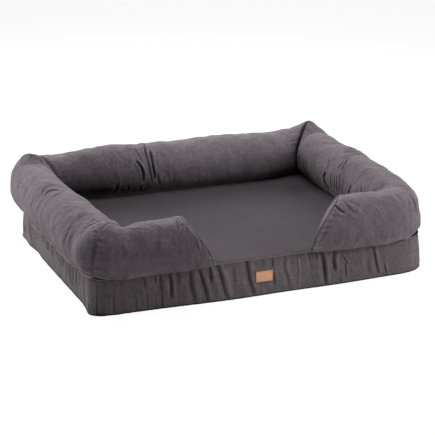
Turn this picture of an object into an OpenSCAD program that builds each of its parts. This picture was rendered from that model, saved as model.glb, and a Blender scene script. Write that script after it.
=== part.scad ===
// Dog mattress with a stuffed bolster round three sides and two short front returns.
// Origin: middle of the footprint, on the floor. +X to the right, +Z up, the entrance faces -Y.

/* [Mattress] */
// Width of the mattress, seam to seam
mattress_width = 1200; // [900:10:1400]
// Depth of the mattress, seam to seam
mattress_depth = 920; // [800:10:1100]
// Height of the mattress with its cover
mattress_height = 120; // [100:1:160]
// Height of the firm foam slab at the bottom
base_foam_height = 80; // [50:1:90]
// Radius of the upright corners of the mattress
mattress_corner = 74; // [40:1:100]

/* [Cover] */
// Thickness of the cover cloth
cloth = 1.6; // [1:0.1:2.5]
// How far the front strip bows out in the middle
front_bow = 6; // [3:1:30]
// How far the side strips bow out in the middle
side_bow = 4; // [3:1:20]
// Height of the gathers in the side strips
gather_height = 3.2; // [1:0.1:5]
// Spacing of the gathers
gather_pitch = 43; // [30:1:60]
// Room between the foam and the seam line of the cover
foam_room = 7; // [6.5:0.5:15]

/* [Bolster] */
// Width of a bolster across its fullest place
bolster_width = 184; // [150:1:210]
// Height of a bolster above the mattress
bolster_height = 164; // [120:1:190]
// How far a bolster hangs over the mattress edge
bolster_overhang = 41; // [20:1:60]
// Radius in plan of the bolster's outer corner at the back left
back_left_corner = 105; // [70:1:200]
// Radius in plan of the bolster's outer corner at the back right
back_right_corner = 138; // [70:1:200]
// Radius in plan of the bolster's outer corner at the front left
front_left_corner = 117; // [70:1:200]
// Radius in plan of the bolster's outer corner at the front right
front_right_corner = 190; // [70:1:210]
// Radius of the bolster's inner corners in plan
bolster_inner_corner = 12; // [5:1:20]
// How much fuller a bolster is in its middle than at its ends
crown = 5; // [0:0.5:10]
// How far the mitre seams draw the cloth in
seam_draw = 5; // [0:0.5:10]
// Rise of the crest at the back right corner
back_right_peak = 44; // [0:1:60]
// Rise of the crest at the back left corner
back_left_peak = 31; // [0:1:60]
// Rise of the crest at the front left corner
front_left_peak = 22; // [0:1:45]
// Rise of the crest at the front right corner
front_right_peak = 4; // [0:1:45]
// Distance of the crease in the back bolster from the middle, to the left
crease_offset = 97; // [40:1:200]
// Depth of that crease
crease_depth = 11; // [0:0.5:15]

/* [Entrance] */
// Width of the entrance at the mattress top
entrance_width = 366; // [250:1:500]
// Distance of the entrance's middle from the mattress middle, to the left
entrance_offset = 12; // [-60:1:60]
// How far the left return's end leans back over its height
left_lean = 93; // [0:1:110]
// How far the left return's end runs back over its depth, less than nothing where it runs forward
left_skew = -20; // [-60:1:80]
// How far the right return's end leans back over its height
right_lean = 93; // [0:1:110]
// How far the right return's end runs back over its depth
right_skew = 114; // [-60:1:120]
// How far the end seams draw the cloth in
end_draw = 4; // [0:0.5:12]
// How far the end panels swell out
end_swell = 6; // [0:0.5:12]

/* [Label] */
// Width of the label patch
label_width = 62; // [40:1:90]
// Height of the label patch
label_height = 40; // [25:1:60]
// Thickness of the label leather
label_thickness = 1.6; // [1:0.1:2.5]
// Distance of the label's middle from the mattress middle, to the left
label_offset = 11; // [-60:1:60]
// Radius of the label's corners
label_corner = 3; // [1:0.5:6]

/* [Zip] */
// Distance from each end of the toothed chain to where the mattress corner starts
zip_margin = 46; // [30:1:300]
// Spacing of the teeth along one row
tooth_pitch = 4.8; // [4:0.1:8]
// Thickness of the teeth
tooth_thickness = 3; // [2:0.1:4]
// Width of the tape on each side
tape_width = 15; // [12:0.5:20]
// Thickness of the tape
tape_thickness = 0.8; // [0.5:0.1:1]
// Length of the slider
slider_length = 15; // [12:0.5:20]
// Thickness of the slider's plates
slider_plate = 1.2; // [0.8:0.1:1.4]
// Length of the pull tab
pull_length = 30; // [20:1:40]
// Width of the pull tab
pull_width = 8; // [7.5:0.5:11]
// Thickness of the pull tab
pull_thickness = 1.8; // [1.2:0.1:2]

/* [Hidden] */

// Cuts run past the faces that they go through by this much
overrun = 1;
// Gap between a filling, or an end panel, and the cloth round it
fill_gap = 0.4;
// Gap under the stitched label
stitch_gap = 0.1;
// Clearance round the zip's moving pieces
zip_clearance = 0.25;
// Radial clearance of the pull's pin in its eye
pin_clearance = 0.08;

half_width = mattress_width / 2;
half_depth = mattress_depth / 2;

// Colours
charcoal = "#56504f";
charcoal_dark = "#454142";
charcoal_light = "#6b6365";
foam_white = "#e8e2d2";
foam_blue = "#b9cbd6";
fibre_white = "#efefec";
tan_leather = "#b8794f";
zip_black = "#26262a";
zip_metal = "#8d9094";

// Mattress: slabs, panels and strips

// Outline of the foam slabs
module foam_outline() {
    r = mattress_corner - foam_room;
    w = mattress_width - 2 * mattress_corner;
    d = mattress_depth - 2 * mattress_corner;
    square([w, d + 2 * r], center = true);
    square([w + 2 * r, d], center = true);
    for (x = [-w / 2, w / 2])
        for (y = [-d / 2, d / 2])
            translate([x, y])
                circle(r, $fn = 64);
}

module base_foam() {
    color(foam_white)
        translate([0, 0, cloth])
            linear_extrude(base_foam_height)
                foam_outline();
}

module memory_foam() {
    color(foam_blue)
        translate([0, 0, cloth + base_foam_height])
            linear_extrude(mattress_height - 2 * cloth - base_foam_height)
                foam_outline();
}

module top_panel() {
    color(charcoal)
        translate([0, 0, mattress_height - cloth])
            linear_extrude(cloth)
                panel_outline();
}

module bottom_panel() {
    color(charcoal_dark)
        linear_extrude(cloth)
            panel_outline();
}

// A strip's outer line, as distance out from the seam line at t along the strip from 0 to 1.
// The bow is full in the middle. The gathers fade out at the ends and round a flat place.
function gather_fade(t, flat_at, flat_half) =
    sin(180 * t) * min(1, pow(abs(t - flat_at) / (2 * flat_half), 6));
// The second wave's height and pitch, as shares of the first wave's, and its phase
second_height_share = 0.7;
second_pitch_share = 1.62;
second_phase = 50;
function gather_wave(x) =
    (sin(360 * x / gather_pitch)
        + second_height_share * sin(360 * x / (gather_pitch * second_pitch_share) + second_phase))
    / (1 + second_height_share);
function band_out(x, t, bow, gather, flat_at, flat_half) =
    bow * sin(180 * t) + gather * gather_fade(t, flat_at, flat_half) * gather_wave(x);

// Steps along a strip: a fifth of a gather each
function band_steps(length) = ceil(5 * length / gather_pitch);

// Outer line of a strip whose straight part has this length, the strip's outward side up.
// Both ends turn round half of the upright corner, where they meet the next strip.
corner_steps = 5;
function corner_arc(length, end, inset) = [
    for (i = [1 : corner_steps])
        let (phi = end < 0 ? 45 - 45 * (i - 1) / corner_steps : 45 * i / corner_steps)
            [end * (length / 2 + (mattress_corner - inset) * sin(phi)),
             (mattress_corner - inset) * cos(phi) - mattress_corner]
];
function band_line(length, bow, gather, flat_at, flat_half, inset) = concat(
    corner_arc(length, -1, inset),
    [for (i = [0 : band_steps(length)])
        let (t = i / band_steps(length), x = length * (t - 0.5))
            [x, band_out(x, t, bow, gather, flat_at, flat_half) - inset]],
    corner_arc(length, 1, inset)
);

// Reversed order of a list of points
function back_to_front(points) = [for (i = [len(points) - 1 : -1 : 0]) points[i]];

// One strip of cover cloth between the top and the bottom panel, standing on the line y = 0
module band(length, bow, flat_at, flat_half) {
    translate([0, 0, cloth])
        linear_extrude(mattress_height - 2 * cloth)
            polygon(concat(
                band_line(length, bow, gather_height, flat_at, flat_half, 0),
                back_to_front(band_line(length, bow, gather_height, flat_at, flat_half, cloth))));
}

// A panel follows the bows of the strips, without their gathers
function panel_line(length, bow) = concat(
    corner_arc(length, -1, 0),
    [for (i = [0 : panel_steps])
        [length * (i / panel_steps - 0.5), bow * sin(180 * i / panel_steps)]],
    corner_arc(length, 1, 0)
);
panel_steps = 16;

module panel_outline() {
    polygon(concat(
        [for (p = panel_line(front_length, 0)) [p[0], half_depth + p[1]]],
        [for (p = panel_line(side_length, side_bow)) [half_width + p[1], -p[0]]],
        [for (p = panel_line(front_length, front_bow)) [-p[0], -half_depth - p[1]]],
        [for (p = panel_line(side_length, side_bow)) [-half_width - p[1], p[0]]]));
}

front_length = mattress_width - 2 * mattress_corner;
side_length = mattress_depth - 2 * mattress_corner;
// Where the label lies along the front strip, and half of the flat place it needs, as shares
label_share = 0.5 - label_offset / front_length;
label_half_share = 0.6 * label_width / front_length;

module front_band() {
    color(charcoal_dark)
        mirror([0, 1, 0])
            translate([0, half_depth, 0])
                band(front_length, front_bow, label_share, label_half_share);
}

module side_band() {
    translate([half_width, 0, 0])
        rotate(-90)
            band(side_length, side_bow, 0.5, label_half_share / 4);
}

module left_band() {
    color(charcoal_light)
        mirror([1, 0, 0])
            side_band();
}

module right_band() {
    color(charcoal_light)
        side_band();
}

// The label lies flat on the bowed front strip, at half of the strip's height
label_depth = front_bow * sin(180 * label_share);

module label_patch() {
    w = label_width - 2 * label_corner;
    h = label_height - 2 * label_corner;
    color(tan_leather)
        translate([-label_offset, -half_depth - label_depth - stitch_gap, mattress_height / 2])
            rotate([90, 0, 0])
                linear_extrude(label_thickness) {
                    square([w, label_height], center = true);
                    square([label_width, h], center = true);
                    for (x = [-w / 2, w / 2])
                        for (y = [-h / 2, h / 2])
                            translate([x, y])
                                circle(label_corner, $fn = 32);
                }
}

// Zip: tapes, teeth, stops, slider and pull.
// Its own axes are x along the chain, y across it and z out of the cover, with z = 0 on the
// outer face of the back strip. The slider closes towards +x.

zip_length = front_length - 2 * zip_margin;
zip_height = mattress_height / 2;
tape_z = -cloth - tape_thickness / 2;
// How far the teeth of one row reach between those of the other
mesh_depth = 0.5 * tooth_pitch;
// Width of the solid edge that carries a row of teeth
tooth_root = 0.42 * tooth_pitch;
// Widths of a tooth at its tip and at its neck, and gap left between meshed teeth
tooth_gap = 0.04 * tooth_pitch;
tooth_tip = 0.54 * tooth_pitch;
tooth_neck = tooth_pitch - tooth_tip - 2 * tooth_gap;
chain_half = mesh_depth / 2 + tooth_root;
tooth_count = floor(zip_length / tooth_pitch) - 1;
// Half of the opening between the two halves of the back strip
window_half = chain_half + 5 * slider_plate;
tape_tail = 4 * tooth_pitch;
stop_length = 3 * tooth_thickness / 2;
stop_height = tooth_thickness;
window_length = zip_length + 2 * (slider_length + stop_length);

module on_back() {
    translate([0, half_depth, zip_height])
        rotate([90, 0, 180])
            children();
}

// Half of the back strip, with its share of the zip's opening cut out of the zip's edge
module back_band_half() {
    difference() {
        union() {
            translate([0, half_depth, cloth])
                linear_extrude(mattress_height / 2 - cloth)
                    polygon(concat(
                        corner_arc(front_length, -1, 0), [[-front_length / 2, 0]],
                        [[front_length / 2, 0]], corner_arc(front_length, 1, 0),
                        back_to_front(corner_arc(front_length, 1, cloth)),
                        [[front_length / 2, -cloth], [-front_length / 2, -cloth]],
                        back_to_front(corner_arc(front_length, -1, cloth))));
        }
        translate([-window_length / 2, half_depth - cloth - overrun, zip_height - window_half])
            cube([window_length, cloth + 2 * overrun, window_half + overrun]);
    }
}

module back_band_lower() {
    color(charcoal_dark)
        back_band_half();
}

module back_band_upper() {
    color(charcoal_dark)
        translate([0, 0, mattress_height])
            mirror([0, 0, 1])
                back_band_half();
}

module zip_tape() {
    translate([-window_length / 2 - tape_tail, chain_half, tape_z - tape_thickness / 2])
        cube([window_length + 2 * tape_tail, tape_width, tape_thickness]);
}

module zip_tape_upper() {
    color(zip_black)
        on_back()
            zip_tape();
}

module zip_tape_lower() {
    color(zip_black)
        on_back()
            mirror([0, 1, 0])
                zip_tape();
}

// One row: a root strip with wedge teeth, each wider at its tip than at its neck.
// The first tooth stands phase pitches from the chain's end.
module tooth_row(phase) {
    first = -zip_length / 2 + phase * tooth_pitch;
    teeth = [
        for (i = [0 : tooth_count - 1])
            let (x = first + i * tooth_pitch)
                each [
                    [x - tooth_neck / 2, mesh_depth / 2],
                    [x - tooth_tip / 2, tooth_gap - mesh_depth / 2],
                    [x + tooth_tip / 2, tooth_gap - mesh_depth / 2],
                    [x + tooth_neck / 2, mesh_depth / 2]
                ]
    ];
    translate([0, 0, tape_z - tooth_thickness / 2])
        linear_extrude(tooth_thickness)
            polygon(concat(
                [[-zip_length / 2, chain_half], [-zip_length / 2, mesh_depth / 2]],
                teeth,
                [[zip_length / 2, mesh_depth / 2], [zip_length / 2, chain_half]]));
}

module zip_teeth_upper() {
    color(zip_black)
        on_back()
            tooth_row(0.5);
}

module zip_teeth_lower() {
    color(zip_black)
        on_back()
            mirror([0, 1, 0])
                tooth_row(1);
}

// Slider
cavity_half = tooth_thickness / 2 + zip_clearance;
slider_rear_half = chain_half + zip_clearance + slider_plate;
slider_front_half = slider_rear_half + 1.6 * slider_plate;
slider_x = zip_length / 2 + slider_length * 0.1;
// Start of the bridge, clear of the last tooth
bridge_x = zip_clearance - slider_length * 0.1 + tooth_pitch / 4;
bridge_half = chain_half - tooth_root / 2;
arch_length = slider_length * 0.42;
arch_width = pull_width * 0.3;
pin_radius = pull_thickness * 0.5;
// Height of the pin above the slider's outer plate
pin_rise = pull_thickness * 1.1;
slider_top = cavity_half + slider_plate;

// Plan of the slider
module slider_plan() {
    rear = slider_rear_half;
    front = slider_front_half;
    nose = slider_length / 5;
    polygon([
        [-slider_length / 2, -rear + slider_plate],
        [-slider_length / 2 + slider_plate, -rear],
        [-slider_length / 10, -rear],
        [slider_length / 2 - nose, -front],
        [slider_length / 2, -front + nose],
        [slider_length / 2, front - nose],
        [slider_length / 2 - nose, front],
        [-slider_length / 10, rear],
        [-slider_length / 2 + slider_plate, rear],
        [-slider_length / 2, rear - slider_plate]
    ]);
}

// Room between the flanges, straight at the rear so that the closed chain can leave
module slider_room() {
    rear = slider_rear_half - slider_plate;
    front = slider_front_half - slider_plate;
    nose = slider_length / 5;
    polygon([
        [-slider_length / 2 - overrun, -rear],
        [-slider_length / 10, -rear],
        [slider_length / 2 - nose, -front],
        [slider_length / 2 + overrun, -front + nose],
        [slider_length / 2 + overrun, front - nose],
        [slider_length / 2 - nose, front],
        [-slider_length / 10, rear],
        [-slider_length / 2 - overrun, rear]
    ]);
}

// One plate with its side flanges, which stop short of the tape
module slider_half() {
    translate([0, 0, cavity_half])
        linear_extrude(slider_plate)
            slider_plan();
    translate([0, 0, tape_thickness / 2 + zip_clearance])
        linear_extrude(cavity_half - tape_thickness / 2 - zip_clearance)
            difference() {
                slider_plan();
                slider_room();
            }
}

module zip_slider() {
    color(zip_metal)
        on_back()
            translate([slider_x, 0, tape_z]) {
                slider_half();
                mirror([0, 0, 1])
                    slider_half();
                // The bridge that joins the plates and parts the rows
                translate([0, 0, -cavity_half])
                    linear_extrude(2 * cavity_half)
                        polygon([
                            [bridge_x, 0],
                            [slider_length / 2 - slider_plate, -bridge_half],
                            [slider_length / 2, 0],
                            [slider_length / 2 - slider_plate, bridge_half]
                        ]);
                // The arch with the eye for the pull's pin
                translate([0, arch_width / 2, slider_top])
                    rotate([90, 0, 0])
                        linear_extrude(arch_width)
                            difference() {
                                union() {
                                    translate([-arch_length / 2, 0])
                                        square([arch_length, pin_rise]);
                                    translate([0, pin_rise])
                                        circle(pin_radius + slider_plate, $fn = 32);
                                }
                                translate([0, pin_rise])
                                    circle(pin_radius + pin_clearance, $fn = 32);
                            }
            }
}

// The pull lies along the chain, ahead of the slider. Its fork straddles the arch.
pull_reach = norm([arch_length / 2, pin_rise]) + zip_clearance;
pull_hole = pull_width * 0.22;

module zip_pull() {
    half = pull_width / 2;
    arm = arch_width / 2 + zip_clearance;
    color(zip_metal)
        on_back()
            translate([slider_x, 0, tape_z + slider_top + pin_rise]) {
                translate([0, 0, -pull_thickness / 2])
                    linear_extrude(pull_thickness)
                        difference() {
                            polygon([
                                [0, -half * 0.8],
                                [pull_reach, -half],
                                [pull_length - half, -half * 0.8],
                                [pull_length, -half * 0.3],
                                [pull_length, half * 0.3],
                                [pull_length - half, half * 0.8],
                                [pull_reach, half],
                                [0, half * 0.8]
                            ]);
                            translate([-overrun, -arm])
                                square([pull_reach + overrun, 2 * arm]);
                            translate([pull_length - half, 0])
                                circle(pull_hole, $fn = 32);
                        }
                rotate([90, 0, 0])
                    cylinder(h = 2 * half * 0.8, r = pin_radius, center = true, $fn = 32);
            }
}

// A stop is a clip pressed over the tape's edge
module stop_clip(half_height) {
    translate([-stop_length / 2, -half_height, tape_z - stop_height / 2])
        cube([stop_length, 2 * half_height, stop_height]);
}

module zip_top_stops() {
    color(zip_metal)
        on_back()
            for (side = [0, 1])
                mirror([0, side, 0])
                    difference() {
                        translate([slider_x + slider_length / 2 + stop_length, chain_half, 0])
                            stop_clip(tooth_root / 2);
                        zip_tape();
                    }
}

module zip_bottom_stop() {
    color(zip_metal)
        on_back()
            difference() {
                translate([-zip_length / 2 - stop_length, 0, 0])
                    stop_clip(chain_half + tooth_root / 2);
                zip_tape();
                mirror([0, 1, 0])
                    zip_tape();
            }
}

// Bolster: one track round the mattress edge. A roll has its own axes: x along the mattress edge,
// y out of the mattress, z up from the mattress top, with the edge itself on y = 0.
// d is the distance in from the edge, v the height above the mattress top.
// s runs along a roll: 0 to 1 on its straight part, and out to -1 and 2 round half of a corner,
// where the roll ends in the mitre seam. A free end stops at 0 or at 1, on the slanted end.

ring_sides = 24;
fill_sides = 12;
centre_in = bolster_width / 2 - bolster_overhang;
centre_up = bolster_height * 0.47;
// How far the round underside would sink into the mattress: it is cut flat there
flat_sink = bolster_height * 0.05;
// Shape of the section: 2 is an ellipse, more is squarer
upper_power = 2.15;
lower_power = 2.5;

// Radius of a corner's arc for a point at d, where the corner's outer radius is outer
function corner_radius(d, outer) =
    bolster_inner_corner
    + (outer - bolster_inner_corner) * (bolster_width - bolster_overhang - d) / bolster_width;

// A roll is a list: half length of its edge line, left peak, right peak, crease, which is its
// distance from the middle, or 0, and the outer radii of its left and right corners. A roll with
// a free end also has its lean, its skew and the distance of the entrance line from the middle.
function half_edge(roll) = roll[0];
function has_free_end(roll) = len(roll) > 6;
// Where the straight part of a roll ends, left and right, for a point at d
function left_reach(roll, d) = half_edge(roll) - d - corner_radius(d, roll[4]);
function right_reach(roll, d) = half_edge(roll) - d - corner_radius(d, roll[5]);

// How near s is to a mitre seam: 0 on the straight part, 1 at the seam
function seam_near(s) = s < 0 ? -s : s > 1 ? s - 1 : 0;
// How near s is to the free end, which lies at s = 0
function end_near(roll, s) = has_free_end(roll) ? max(0, 1 - s / 0.25) : 0;
function fullness(s) = s <= 0 || s >= 1 ? 0 : sin(180 * s);
function crease_near(roll, s) =
    roll[3] == 0 ? 0 : exp(-pow((s - crease_s(roll)) * 2 * half_edge(roll) / bolster_height * 9, 2));
function crease_s(roll) =
    (roll[3] + left_reach(roll, centre_in))
    / (left_reach(roll, centre_in) + right_reach(roll, centre_in));

// How far the section is drawn in at s
function draw_in(roll, s) =
    crown * (1 - fullness(s))
    + seam_draw * pow(seam_near(s), 2)
    + end_draw * pow(end_near(roll, s), 2)
    + crease_depth * crease_near(roll, s);

function peak(roll, s) = s < 0 ? roll[1] * pow(-s, 1.5) : s > 1 ? roll[2] * pow(s - 1, 1.5) : 0;

// A point of the section: sign-true powers of cosine and sine
function sign_power(c, p) = sign(c) * pow(abs(c), p);
function section_point(roll, s, angle, inset) =
    let (
        c = cos(angle),
        n = sin(angle),
        p = 2 / (n >= 0 ? upper_power : lower_power),
        draw = draw_in(roll, s) + inset,
        d = centre_in - (bolster_width / 2 - draw) * sign_power(c, p),
        up = centre_up + (bolster_height - centre_up - draw) * sign_power(n, p),
        down = centre_up + (centre_up + flat_sink - draw) * sign_power(n, p),
        v = max(inset, n >= 0 ? up : down)
    )
        [d, v + peak(roll, s) * pow(v / bolster_height, 3)];

// Place of the slanted free end for a point at d and v, as distance from the entrance line
function slant(roll, d, v) = roll[6] * v / bolster_height + roll[7] * d / bolster_width;

// Where the straight part of a roll starts at its left, for a point at d and v
function left_limit(roll, d, v, end_inset) =
    has_free_end(roll)
        ? roll[8] + slant(roll, d, v) + end_inset
        : -left_reach(roll, d);

function track_point(roll, s, angle, inset, end_inset) =
    let (
        q = section_point(roll, s, angle, inset),
        d = q[0],
        r = corner_radius(d, roll[s < 0 ? 4 : 5]),
        right = right_reach(roll, d),
        left = left_limit(roll, d, q[1], end_inset),
        phi = 45 * seam_near(s)
    )
        s < 0 ? [left - r * sin(phi), -d - r + r * cos(phi), q[1]]
        : s > 1 ? [right + r * sin(phi), -d - r + r * cos(phi), q[1]]
        : [left + (right - left) * s, -d, q[1]];

function ring(roll, s, sides, inset, end_inset) =
    [for (k = [0 : sides - 1]) track_point(roll, s, 360 * k / sides, inset, end_inset)];

// Triangles between ring i and ring i + 1, turned over where flip is true
function side_faces(first, rings, sides, flip) = [
    for (i = [0 : rings - 2])
        for (k = [0 : sides - 1])
            let (
                a = first + i * sides + k,
                b = first + i * sides + (k + 1) % sides,
                c = b + sides,
                e = a + sides
            )
                each (flip ? [[a, b, c], [a, c, e]] : [[a, c, b], [a, e, c]])
];

// Triangles of the ring-shaped edge between an outer and an inner ring
function rim_faces(outer, inner, sides, flip) = [
    for (k = [0 : sides - 1])
        let (m = (k + 1) % sides)
            each (flip
                ? [[outer + k, inner + m, outer + m], [outer + k, inner + k, inner + m]]
                : [[outer + k, outer + m, inner + m], [outer + k, inner + m, inner + k]])
];

// Triangles from a ring to a middle point
function cap_faces(first, middle, sides, flip) = [
    for (k = [0 : sides - 1])
        let (m = (k + 1) % sides)
            flip ? [first + m, first + k, middle] : [first + k, first + m, middle]
];

// A tube of cloth along a roll, open at both ends
module roll_cover(roll, stations) {
    rings = len(stations);
    outer = [for (s = stations) each ring(roll, s, ring_sides, 0, 0)];
    inner = [for (s = stations) each ring(roll, s, ring_sides, cloth, 0)];
    count = len(outer);
    last = (rings - 1) * ring_sides;
    polyhedron(
        concat(outer, inner),
        concat(
            side_faces(0, rings, ring_sides, false),
            side_faces(count, rings, ring_sides, true),
            rim_faces(0, count, ring_sides, false),
            rim_faces(last, count + last, ring_sides, true)),
        convexity = 8);
}

// Mean of a list of points
function middle_of(points) = [for (axis = [0 : 2]) sum_of(points, axis, 0) / len(points)];
function sum_of(points, axis, i) =
    i == len(points) ? 0 : points[i][axis] + sum_of(points, axis, i + 1);

// The closed filling of a roll, a little smaller than the cloth's inside
module roll_fill(roll, stations) {
    inset = cloth + fill_gap;
    end_inset = end_swell / 4 + cloth + fill_gap;
    rings = [for (s = stations) ring(roll, s, fill_sides, inset, end_inset)];
    all = [for (r = rings) each r];
    last = len(all) - fill_sides;
    polyhedron(
        concat(all, [middle_of(rings[0]), middle_of(rings[len(rings) - 1])]),
        concat(
            side_faces(0, len(rings), fill_sides, false),
            cap_faces(0, len(all), fill_sides, false),
            cap_faces(last, len(all) + 1, fill_sides, true)),
        convexity = 8);
}

// The panel that closes a free end, swollen out in its middle
module roll_end(roll) {
    inset = cloth + fill_gap;
    outer = ring(roll, 0, ring_sides, inset, 0);
    inner = ring(roll, 0, ring_sides, inset, cloth);
    swell = [-end_swell, 0, 0];
    polyhedron(
        concat(outer, inner, [middle_of(outer) + swell, middle_of(inner) + swell]),
        concat(
            side_faces(0, 2, ring_sides, false),
            cap_faces(0, 2 * ring_sides, ring_sides, false),
            cap_faces(ring_sides, 2 * ring_sides + 1, ring_sides, true)),
        convexity = 4);
}

// Where the slanted ends meet the mattress edge, either side of the middle
left_end_x = entrance_width / 2 + entrance_offset;
right_end_x = entrance_width / 2 - entrance_offset;

back_roll = [
    half_width, back_left_peak, back_right_peak, -crease_offset,
    back_left_corner, back_right_corner
];
// Seen from outside, the right side's left end is at the back. The left side's is too, mirrored.
right_roll = [
    half_depth, back_right_peak, front_right_peak, 0,
    back_right_corner, front_right_corner
];
left_roll = [
    half_depth, back_left_peak, front_left_peak, 0,
    back_left_corner, front_left_corner
];
right_return = [
    half_width, 0, front_right_peak, 0,
    front_right_corner, front_right_corner, right_lean, right_skew, right_end_x
];
left_return = [
    half_width, 0, front_left_peak, 0,
    front_left_corner, front_left_corner, left_lean, left_skew, left_end_x
];

// Stations along the rolls
corner_stations = [0.35, 0.7, 1];
straight_stations = [0, 0.08, 0.2, 0.35, 0.5, 0.65, 0.8, 0.92, 1];
end_stations = [0, 0.04, 0.11, 0.22, 0.45, 0.72, 1];
crease_steps = [-0.05, -0.022, 0, 0.022, 0.05];
left_corner_stations = [for (i = [len(corner_stations) - 1 : -1 : 0]) -corner_stations[i]];
right_corner_stations = [for (c = corner_stations) 1 + c];
side_stations = concat(left_corner_stations, straight_stations, right_corner_stations);
return_stations = concat(end_stations, right_corner_stations);
// The back roll has stations of its own round its crease
back_stations = concat(
    left_corner_stations,
    [for (s = straight_stations) if (s < crease_s(back_roll) - 0.07) s],
    [for (c = crease_steps) crease_s(back_roll) + c],
    [for (s = straight_stations) if (s > crease_s(back_roll) + 0.07) s],
    right_corner_stations);
// A filling stops just short of the mitre seams. Round a corner it has the cover's stations.
fill_corner_share = 0.97;
right_fill_corner = [1.35, 1.7, 1 + fill_corner_share];
left_fill_corner = [-fill_corner_share, -0.7, -0.35];
side_fill_stations = concat(left_fill_corner, [0, 0.2, 0.5, 0.8, 1], right_fill_corner);
back_fill_stations = concat(
    left_fill_corner,
    [0, 0.2],
    [for (c = crease_steps) crease_s(back_roll) + c],
    [0.8, 1],
    right_fill_corner);
return_fill_stations = concat([0, 0.11, 0.45, 0.72, 1], right_fill_corner);

// Places of the rolls' own axes
module at_back() {
    translate([0, half_depth, mattress_height])
        children();
}

module at_right() {
    translate([half_width, 0, mattress_height])
        rotate(-90)
            children();
}

module at_left() {
    translate([-half_width, 0, mattress_height])
        mirror([1, 0, 0])
            rotate(-90)
                children();
}

module at_front_right() {
    translate([0, -half_depth, mattress_height])
        mirror([0, 1, 0])
            children();
}

module at_front_left() {
    translate([0, -half_depth, mattress_height])
        mirror([1, 0, 0])
            mirror([0, 1, 0])
                children();
}

module back_bolster_cover() {
    color(charcoal)
        at_back()
            roll_cover(back_roll, back_stations);
}

module right_bolster_cover() {
    color(charcoal)
        at_right()
            roll_cover(right_roll, side_stations);
}

module left_bolster_cover() {
    color(charcoal_light)
        at_left()
            roll_cover(left_roll, side_stations);
}

module right_return_cover() {
    color(charcoal)
        at_front_right()
            roll_cover(right_return, return_stations);
}

module left_return_cover() {
    color(charcoal)
        at_front_left()
            roll_cover(left_return, return_stations);
}

module right_return_end() {
    color(charcoal_dark)
        at_front_right()
            roll_end(right_return);
}

module left_return_end() {
    color(charcoal_dark)
        at_front_left()
            roll_end(left_return);
}

module back_bolster_fill() {
    color(fibre_white)
        at_back()
            roll_fill(back_roll, back_fill_stations);
}

module right_bolster_fill() {
    color(fibre_white)
        at_right()
            roll_fill(right_roll, side_fill_stations);
}

module left_bolster_fill() {
    color(fibre_white)
        at_left()
            roll_fill(left_roll, side_fill_stations);
}

module right_return_fill() {
    color(fibre_white)
        at_front_right()
            roll_fill(right_return, return_fill_stations);
}

module left_return_fill() {
    color(fibre_white)
        at_front_left()
            roll_fill(left_return, return_fill_stations);
}

base_foam();
memory_foam();
top_panel();
bottom_panel();
front_band();
left_band();
right_band();
back_band_upper();
back_band_lower();
label_patch();
zip_tape_upper();
zip_tape_lower();
zip_teeth_upper();
zip_teeth_lower();
zip_top_stops();
zip_bottom_stop();
zip_slider();
zip_pull();
back_bolster_cover();
left_bolster_cover();
right_bolster_cover();
left_return_cover();
right_return_cover();
left_return_end();
right_return_end();
back_bolster_fill();
left_bolster_fill();
right_bolster_fill();
left_return_fill();
right_return_fill();
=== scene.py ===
# Dog mattress with a stuffed bolster: the looks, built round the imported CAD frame.
# All shapes are worked out in millimetres in the row frame and written to Blender in metres.
import math

import bpy
import numpy as np
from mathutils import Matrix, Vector
from numpy.linalg import norm


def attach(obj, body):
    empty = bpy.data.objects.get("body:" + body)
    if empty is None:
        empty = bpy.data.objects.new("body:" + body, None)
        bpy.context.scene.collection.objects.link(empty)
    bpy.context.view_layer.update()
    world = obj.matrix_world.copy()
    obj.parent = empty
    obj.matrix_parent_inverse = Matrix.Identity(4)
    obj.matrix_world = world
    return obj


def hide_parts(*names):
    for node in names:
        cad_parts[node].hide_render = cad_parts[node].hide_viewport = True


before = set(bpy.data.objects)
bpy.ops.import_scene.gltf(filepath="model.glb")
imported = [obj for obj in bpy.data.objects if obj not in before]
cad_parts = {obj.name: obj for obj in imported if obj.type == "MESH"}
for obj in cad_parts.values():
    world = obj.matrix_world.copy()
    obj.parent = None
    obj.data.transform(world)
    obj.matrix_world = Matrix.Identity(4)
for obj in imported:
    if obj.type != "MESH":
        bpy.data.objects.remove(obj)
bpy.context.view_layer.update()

MM = 0.001
RNG = np.random.default_rng(7)

# Sizes of the CAD model, in millimetres
HALF_W, HALF_D, TOP = 600.0, 460.0, 120.0
CORNER = 74.0
CLOTH = 1.6
FRONT_BOW, SIDE_BOW = 6.0, 4.0
ROLL_W, ROLL_H, OVERHANG, INNER_R = 184.0, 164.0, 41.0, 12.0
CENTRE_IN, CENTRE_UP, SINK = ROLL_W / 2 - OVERHANG, 0.47 * ROLL_H, 0.05 * ROLL_H
# The line round which the rolls are sewn: left, right, front, back
TRACK = (-597.0, 596.0, -460.0, 464.0)
TRACK_X, TRACK_Y = (TRACK[0] + TRACK[1]) / 2, (TRACK[2] + TRACK[3]) / 2
TRACK_W, TRACK_D = (TRACK[1] - TRACK[0]) / 2, (TRACK[3] - TRACK[2]) / 2
LABEL_X, LABEL_Z, LABEL_W, LABEL_H = -11.0, 60.0, 62.0, 40.0
ZIP_HALF, ZIP_WINDOW = 9.2, 499.5


# Camera and lights

def aim(obj, place, target):
    obj.location = place
    obj.rotation_euler = (Vector(target) - Vector(place)).to_track_quat("-Z", "Y").to_euler()


def add_object(name, data):
    obj = bpy.data.objects.new(name, data)
    bpy.context.scene.collection.objects.link(obj)
    return obj


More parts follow.
